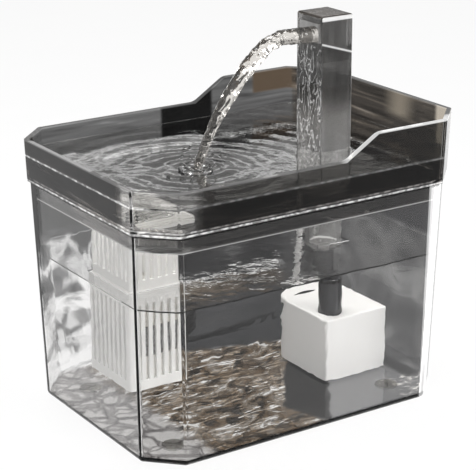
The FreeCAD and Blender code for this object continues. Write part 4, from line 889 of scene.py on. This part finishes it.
def water_sheet(name, half_x, half_y, corner, level, step):
    """A grid with cut corners, level with the water."""
    bpy.ops.mesh.primitive_grid_add(
        x_subdivisions=round(2 * half_x / step), y_subdivisions=round(2 * half_y / step),
        size=2 * MM, location=(0, 0, level * MM))
    sheet = bpy.context.object
    sheet.name = name
    sheet.scale = (half_x, half_y, 1)
    apply_place(sheet)
    for side_x in (-1, 1):
        for side_y in (-1, 1):
            edit_all(sheet)
            edge = Vector((side_x * (half_x - corner), side_y * half_y, level)) * MM
            bpy.ops.mesh.bisect(plane_co=edge, plane_no=(side_x, side_y, 0), clear_outer=True)
            bpy.ops.object.mode_set(mode="OBJECT")
    return sheet


def weigh_by_distance(sheet, place, near, far):
    """Waves are high up to near millimetres from a place and die away by far."""
    group = sheet.vertex_groups.new(name="near_landing")
    for vertex in sheet.data.vertices:
        distance = (vertex.co - place * MM).length / MM
        weight = 1 - share_between(distance, near, far)
        group.add([vertex.index], 0.25 + 0.75 * weight * weight, "REPLACE")
    return group.name


def cut_box(sheet, low, high):
    centre = (Vector(low) + Vector(high)) / 2 * MM
    bpy.ops.mesh.primitive_cube_add(size=1, location=centre)
    cutter = bpy.context.object
    cutter.scale = (Vector(high) - Vector(low)) * MM
    apply_place(cutter)
    apply_modifier(sheet, "BOOLEAN", operation="DIFFERENCE", object=cutter, solver="EXACT")
    bpy.data.objects.remove(cutter)


bpy.ops.object.select_all(action="DESELECT")
tray_water = water_sheet("tray_water", 93.0, 67.8, 14.5, TRAY_WATER_LEVEL, 1.1)
ripple_group = weigh_by_distance(tray_water, LANDING, 6, 58)
rings = ring_middle(LANDING, 12.5)
apply_modifier(tray_water, "DISPLACE", texture=ring_texture("landing_rings"), texture_coords="OBJECT",
               texture_coords_object=rings, direction="Z", strength=0.34 * MM, mid_level=0.5,
               vertex_group=ripple_group)
apply_modifier(tray_water, "DISPLACE", texture=cloud_texture("tray_chop", 21), texture_coords="LOCAL",
               direction="Z", strength=0.7 * MM, mid_level=0.5, vertex_group=ripple_group)
apply_modifier(tray_water, "SOLIDIFY", thickness=SHEET * MM, offset=-1)
cut_box(tray_water, *TOWER_HOLE)
smooth(tray_water, 60)
print("tray water triangles", triangles(tray_water))

# %% [markdown]
# The tank's water swells towards the front, where the wavy line of its surface crosses the wall. The
# filter, the stem and the lead stand in it, so it has a hole for each.

# %% Water in the tank
tank_water = water_sheet("tank_water", 91.4, 66.0, 14.5, TANK_WATER_LEVEL, 1.4)
swell_group = weigh_by_distance(tank_water, Vector((-20, -60, TANK_WATER_LEVEL)), 20, 120)
apply_modifier(tank_water, "DISPLACE", texture=cloud_texture("tank_chop", 17), texture_coords="LOCAL",
               direction="Z", strength=2.0 * MM, mid_level=0.5, vertex_group=swell_group)
apply_modifier(tank_water, "SOLIDIFY", thickness=SHEET * MM, offset=-1)
for hole in (FILTER_HOLE, STEM_HOLE, LEAD_HOLE):
    cut_box(tank_water, *hole)
smooth(tank_water, 60)
bpy.data.objects.remove(rings)
print("tank water triangles", triangles(tank_water))

# %% [markdown]
# ## The stream
# The stream leaves the mouth as wide as the mouth, sags, narrows and twists into strands. The tapered
# tube of the hose gives its path and its thickness at each point. It is stretched across to the mouth's
# width and pushed in and out by a cloud texture that follows the tube's own map, so that the strands run
# along the flow. Near the mouth the push is weak, so that the water fills the mouth and stays inside it.

# %% Stream
STREAM_PATH = [
    ((36.5, 196.2), 4.2), ((31.5, 196.0), 4.4), ((24, 196.6), 4.0), ((16, 196.8), 3.8), ((8, 194.8), 3.6),
    ((0.5, 189.4), 3.6), ((-7.5, 181.2), 3.3), ((-16, 170.8), 3.0), ((-23.5, 160.5), 2.6),
    ((-29.6, 149.5), 2.2), ((-34.6, 138.2), 2.0), ((-35.6, 135.4), 2.0),
]
STREAM_MIDDLE = -16
STREAM_WIDTH = 1.45
FREE_FALL, MOUTH_END = 19.0, 33.0


def make_stream():
    line = [((x, STREAM_MIDDLE, z), radius) for (x, z), radius in STREAM_PATH]
    tube = tapered_tube("water_stream", line, steps=12)
    edit_all(tube)
    bpy.ops.transform.resize(value=(1, STREAM_WIDTH, 1), center_override=(0, STREAM_MIDDLE * MM, 0))
    bpy.ops.object.mode_set(mode="OBJECT")
    return tube


def strand_texture(name, size):
    texture = bpy.data.textures.new(name, "CLOUDS")
    texture.noise_scale = size
    texture.noise_depth = 3
    return texture


stream = make_stream()
outside_mouth = stream.vertex_groups.new(name="outside_mouth")
for vertex in stream.data.vertices:
    share = 1 - share_between(vertex.co.x / MM, FREE_FALL, MOUTH_END)
    outside_mouth.add([vertex.index], 0.15 + 0.85 * share, "REPLACE")
apply_modifier(stream, "DISPLACE", texture=strand_texture("strands", 0.13), texture_coords="UV",
               strength=2.4 * MM, mid_level=0.55, vertex_group="outside_mouth")
apply_modifier(stream, "SUBSURF", levels=1, render_levels=1)
apply_modifier(stream, "DISPLACE", texture=cloud_texture("stream_ripple", 3.2), texture_coords="LOCAL",
               strength=1.1 * MM, mid_level=0.5, vertex_group="outside_mouth")
smooth(stream, 75)
print("stream triangles", triangles(stream))

# %% [markdown]
# Drops jump where the stream lands, and a low ring of water stands up round it. A drop is a small
# sphere drawn out a little. The ring is a torus pushed out of round.

# %% Splash
random.seed(7)
DROPS = 34


def splash_drop(index):
    angle = random.uniform(0, 2 * math.pi)
    reach = 3 + 15 * random.random() ** 1.6
    height = max(0.6, random.gauss(7, 5) * (1 - reach / 26))
    place = LANDING + Vector((reach * math.cos(angle), reach * math.sin(angle), height))
    radius = random.uniform(0.35, 1.15)
    bpy.ops.mesh.primitive_ico_sphere_add(subdivisions=2, radius=radius * MM, location=place * MM)
    drop = bpy.context.object
    drop.scale = (1, 1, random.uniform(0.9, 1.7))
    drop.rotation_euler = (random.uniform(-0.5, 0.5), random.uniform(-0.5, 0.5), 0)
    apply_place(drop)
    return drop


drops = join("splash_drops", [splash_drop(index) for index in range(DROPS)])
smooth(drops, 180)

bpy.ops.mesh.primitive_torus_add(
    major_radius=7.5 * MM, minor_radius=1.2 * MM, major_segments=64, minor_segments=16,
    location=(LANDING + Vector((-1, 0, 0.4))) * MM)
ring = bpy.context.object
ring.name = "splash_ring"
apply_place(ring)
apply_modifier(ring, "DISPLACE", texture=cloud_texture("ring_chop", 4), texture_coords="LOCAL",
               strength=3.0 * MM, mid_level=0.5)
smooth(ring, 180)
print("drops", DROPS, "triangles", triangles(drops), "ring triangles", triangles(ring))

# %% [markdown]
# Water is clear and bends light less than the plastic does. Fine bump on the stream breaks its
# highlights into the small sparks of fast water.

# %% Water finish
def water(name, tint, bump_size, bump_height, shade, sheen=1.0):
    finish = Finish(name)
    waves = finish.noise(bump_size, detail=3, distortion=0.4)
    colour = finish.mix(waves.above(0.4, 0.6), tint, tuple(value * 0.94 for value in tint))
    shader = finish.principled(Base_Color=colour, Roughness=0.0, IOR=1.333, Transmission_Weight=1.0,
                               Specular_Tint=(sheen, sheen, sheen, 1),
                               Normal=finish.bump(waves, bump_height))
    return finish.done(finish.lamps_pass(shader, shade))


wear(water("tray_water", (0.88, 0.88, 0.87), 10, 0.12, (0.92, 0.92, 0.92)), "tray_water")
wear(water("tank_water", (0.90, 0.90, 0.90), 14, 0.30, (0.92, 0.92, 0.92), 0.3), "tank_water")
wear(water("stream_water", (0.80, 0.77, 0.73), 1.6, 0.14, (0.9, 0.9, 0.9)), "water_stream")
wear(water("splash_water", (0.98, 0.98, 0.98), 3, 0.02, (0.9, 0.9, 0.9)), "splash_drops", "splash_ring")
add_piece(tray_water, "tray", "smoked_clear")
add_piece(tank_water, "base", "smoked_clear")
add_piece(stream, "tower", "smoked_clear")
add_piece(drops, "tray", "smoked_clear")
add_piece(ring, "tray", "smoked_clear")

# %% [markdown]
# ## Floor
# A pale floor carries the shadow. For rays from the camera, and for mirrored and bent ones, it also
# glows a little, so that it is nearly white without more light on the object.

# %% Floor
FLOOR_GLOW = 0.88


def floor_finish():
    finish = Finish("pale_floor")
    grain = finish.noise(60, detail=2)
    colour = finish.mix(grain.above(0.4, 0.6), (0.84, 0.84, 0.84), (0.86, 0.86, 0.86))
    dull = finish.principled(Base_Color=colour, Roughness=0.6, Specular_IOR_Level=0.2)
    glow = finish.add("ShaderNodeEmission", None, {"Color": (1, 1, 1, 1), "Strength": 1.0})
    seen = finish.rays("Camera", "Glossy", "Transmission")
    return finish.done(finish.blend(seen * FLOOR_GLOW, dull, glow))


bpy.ops.mesh.primitive_plane_add(size=6, location=(0, 0, 0))
floor = bpy.context.object
floor.name = "pale_floor"
floor.data.materials.append(floor_finish())
print("floor", tuple(round(side, 2) for side in floor.dimensions), "m")

# %% [markdown]
# ## World
# Clear plastic looks like what it mirrors and bends, so a plain white world would leave it empty. The
# camera sees white. Mirrored and bent rays see bands from the horizon up: white, grey, a dark band and
# white again, which draw the lines along edges and in the water. Dull surfaces get a soft light that is
# weak from the left and stronger from the right, so that the left faces lie in shade.

# %% World
class Sky(Finish):
    """The world's own node tree, with the same helpers."""

    def __init__(self, made):
        self.material = made
        self.tree = made.node_tree
        self.coordinates = self.add("ShaderNodeTexCoord", output="Generated")


world = bpy.data.worlds.new("studio")
world.use_nodes = True
world.node_tree.nodes.clear()
scene.world = world
sky = Sky(world)
parts = sky.add("ShaderNodeSeparateXYZ", None, {0: sky.coordinates})
side, height = sky.outputs(parts, "X", "Z")
bands = sky.ramp(height, [(0.0, (1, 1, 1)), (0.04, (1, 1, 1)), (0.12, (0.40, 0.40, 0.40)),
                          (0.30, (0.50, 0.495, 0.49)), (0.40, (0.40, 0.395, 0.39)),
                          (0.52, (0.12, 0.117, 0.113)), (0.64, (0.9, 0.9, 0.9)),
                          (1.0, (0.55, 0.55, 0.55))])
ambient = sky.mix(side.above(-0.8, 0.6), (0.10, 0.097, 0.092), (0.56, 0.56, 0.56))
colour = sky.mix(sky.rays("Glossy", "Transmission"), ambient, bands)
colour = sky.mix(sky.rays("Camera"), colour, (1, 1, 1))
backdrop = sky.add("ShaderNodeBackground", None, {"Color": colour, "Strength": 1.0})
sky.add("ShaderNodeOutputWorld", None, {"Surface": backdrop})
print("world", world.name, "nodes", len(world.node_tree.nodes))

# %% [markdown]
# ## Lamps
# A large soft key lamp stands in front on the right, and a larger one hangs above. A thin strip behind
# on the right is kept very weak, because the water mirrors it. A faint lamp opens the shade on the left.

# %% Lamps
def soft_lamp(name, place, target, size, power):
    lamp_data = bpy.data.lights.new(name, "AREA")
    lamp_data.shape = "RECTANGLE"
    lamp_data.size, lamp_data.size_y = size
    lamp_data.energy = power
    lamp = bpy.data.objects.new(name, lamp_data)
    scene.collection.objects.link(lamp)
    lamp.location = place
    lamp.rotation_euler = (Vector(target) - Vector(place)).to_track_quat("-Z", "Y").to_euler()
    print("lamp", name, power, "W")


soft_lamp("key", (0.35, -0.85, 0.95), (0, 0, 0.08), (0.6, 0.45), 7.8)
soft_lamp("top", (-0.1, 0.25, 1.1), (0, 0, 0.1), (0.7, 0.5), 11.0)
soft_lamp("rear_strip", (0.85, 1.35, 0.62), (0, 0, 0.15), (0.6, 0.05), 0.10)
soft_lamp("left", (-0.55, -1.0, 0.5), (0, 0, 0.1), (0.4, 0.5), 0.8)
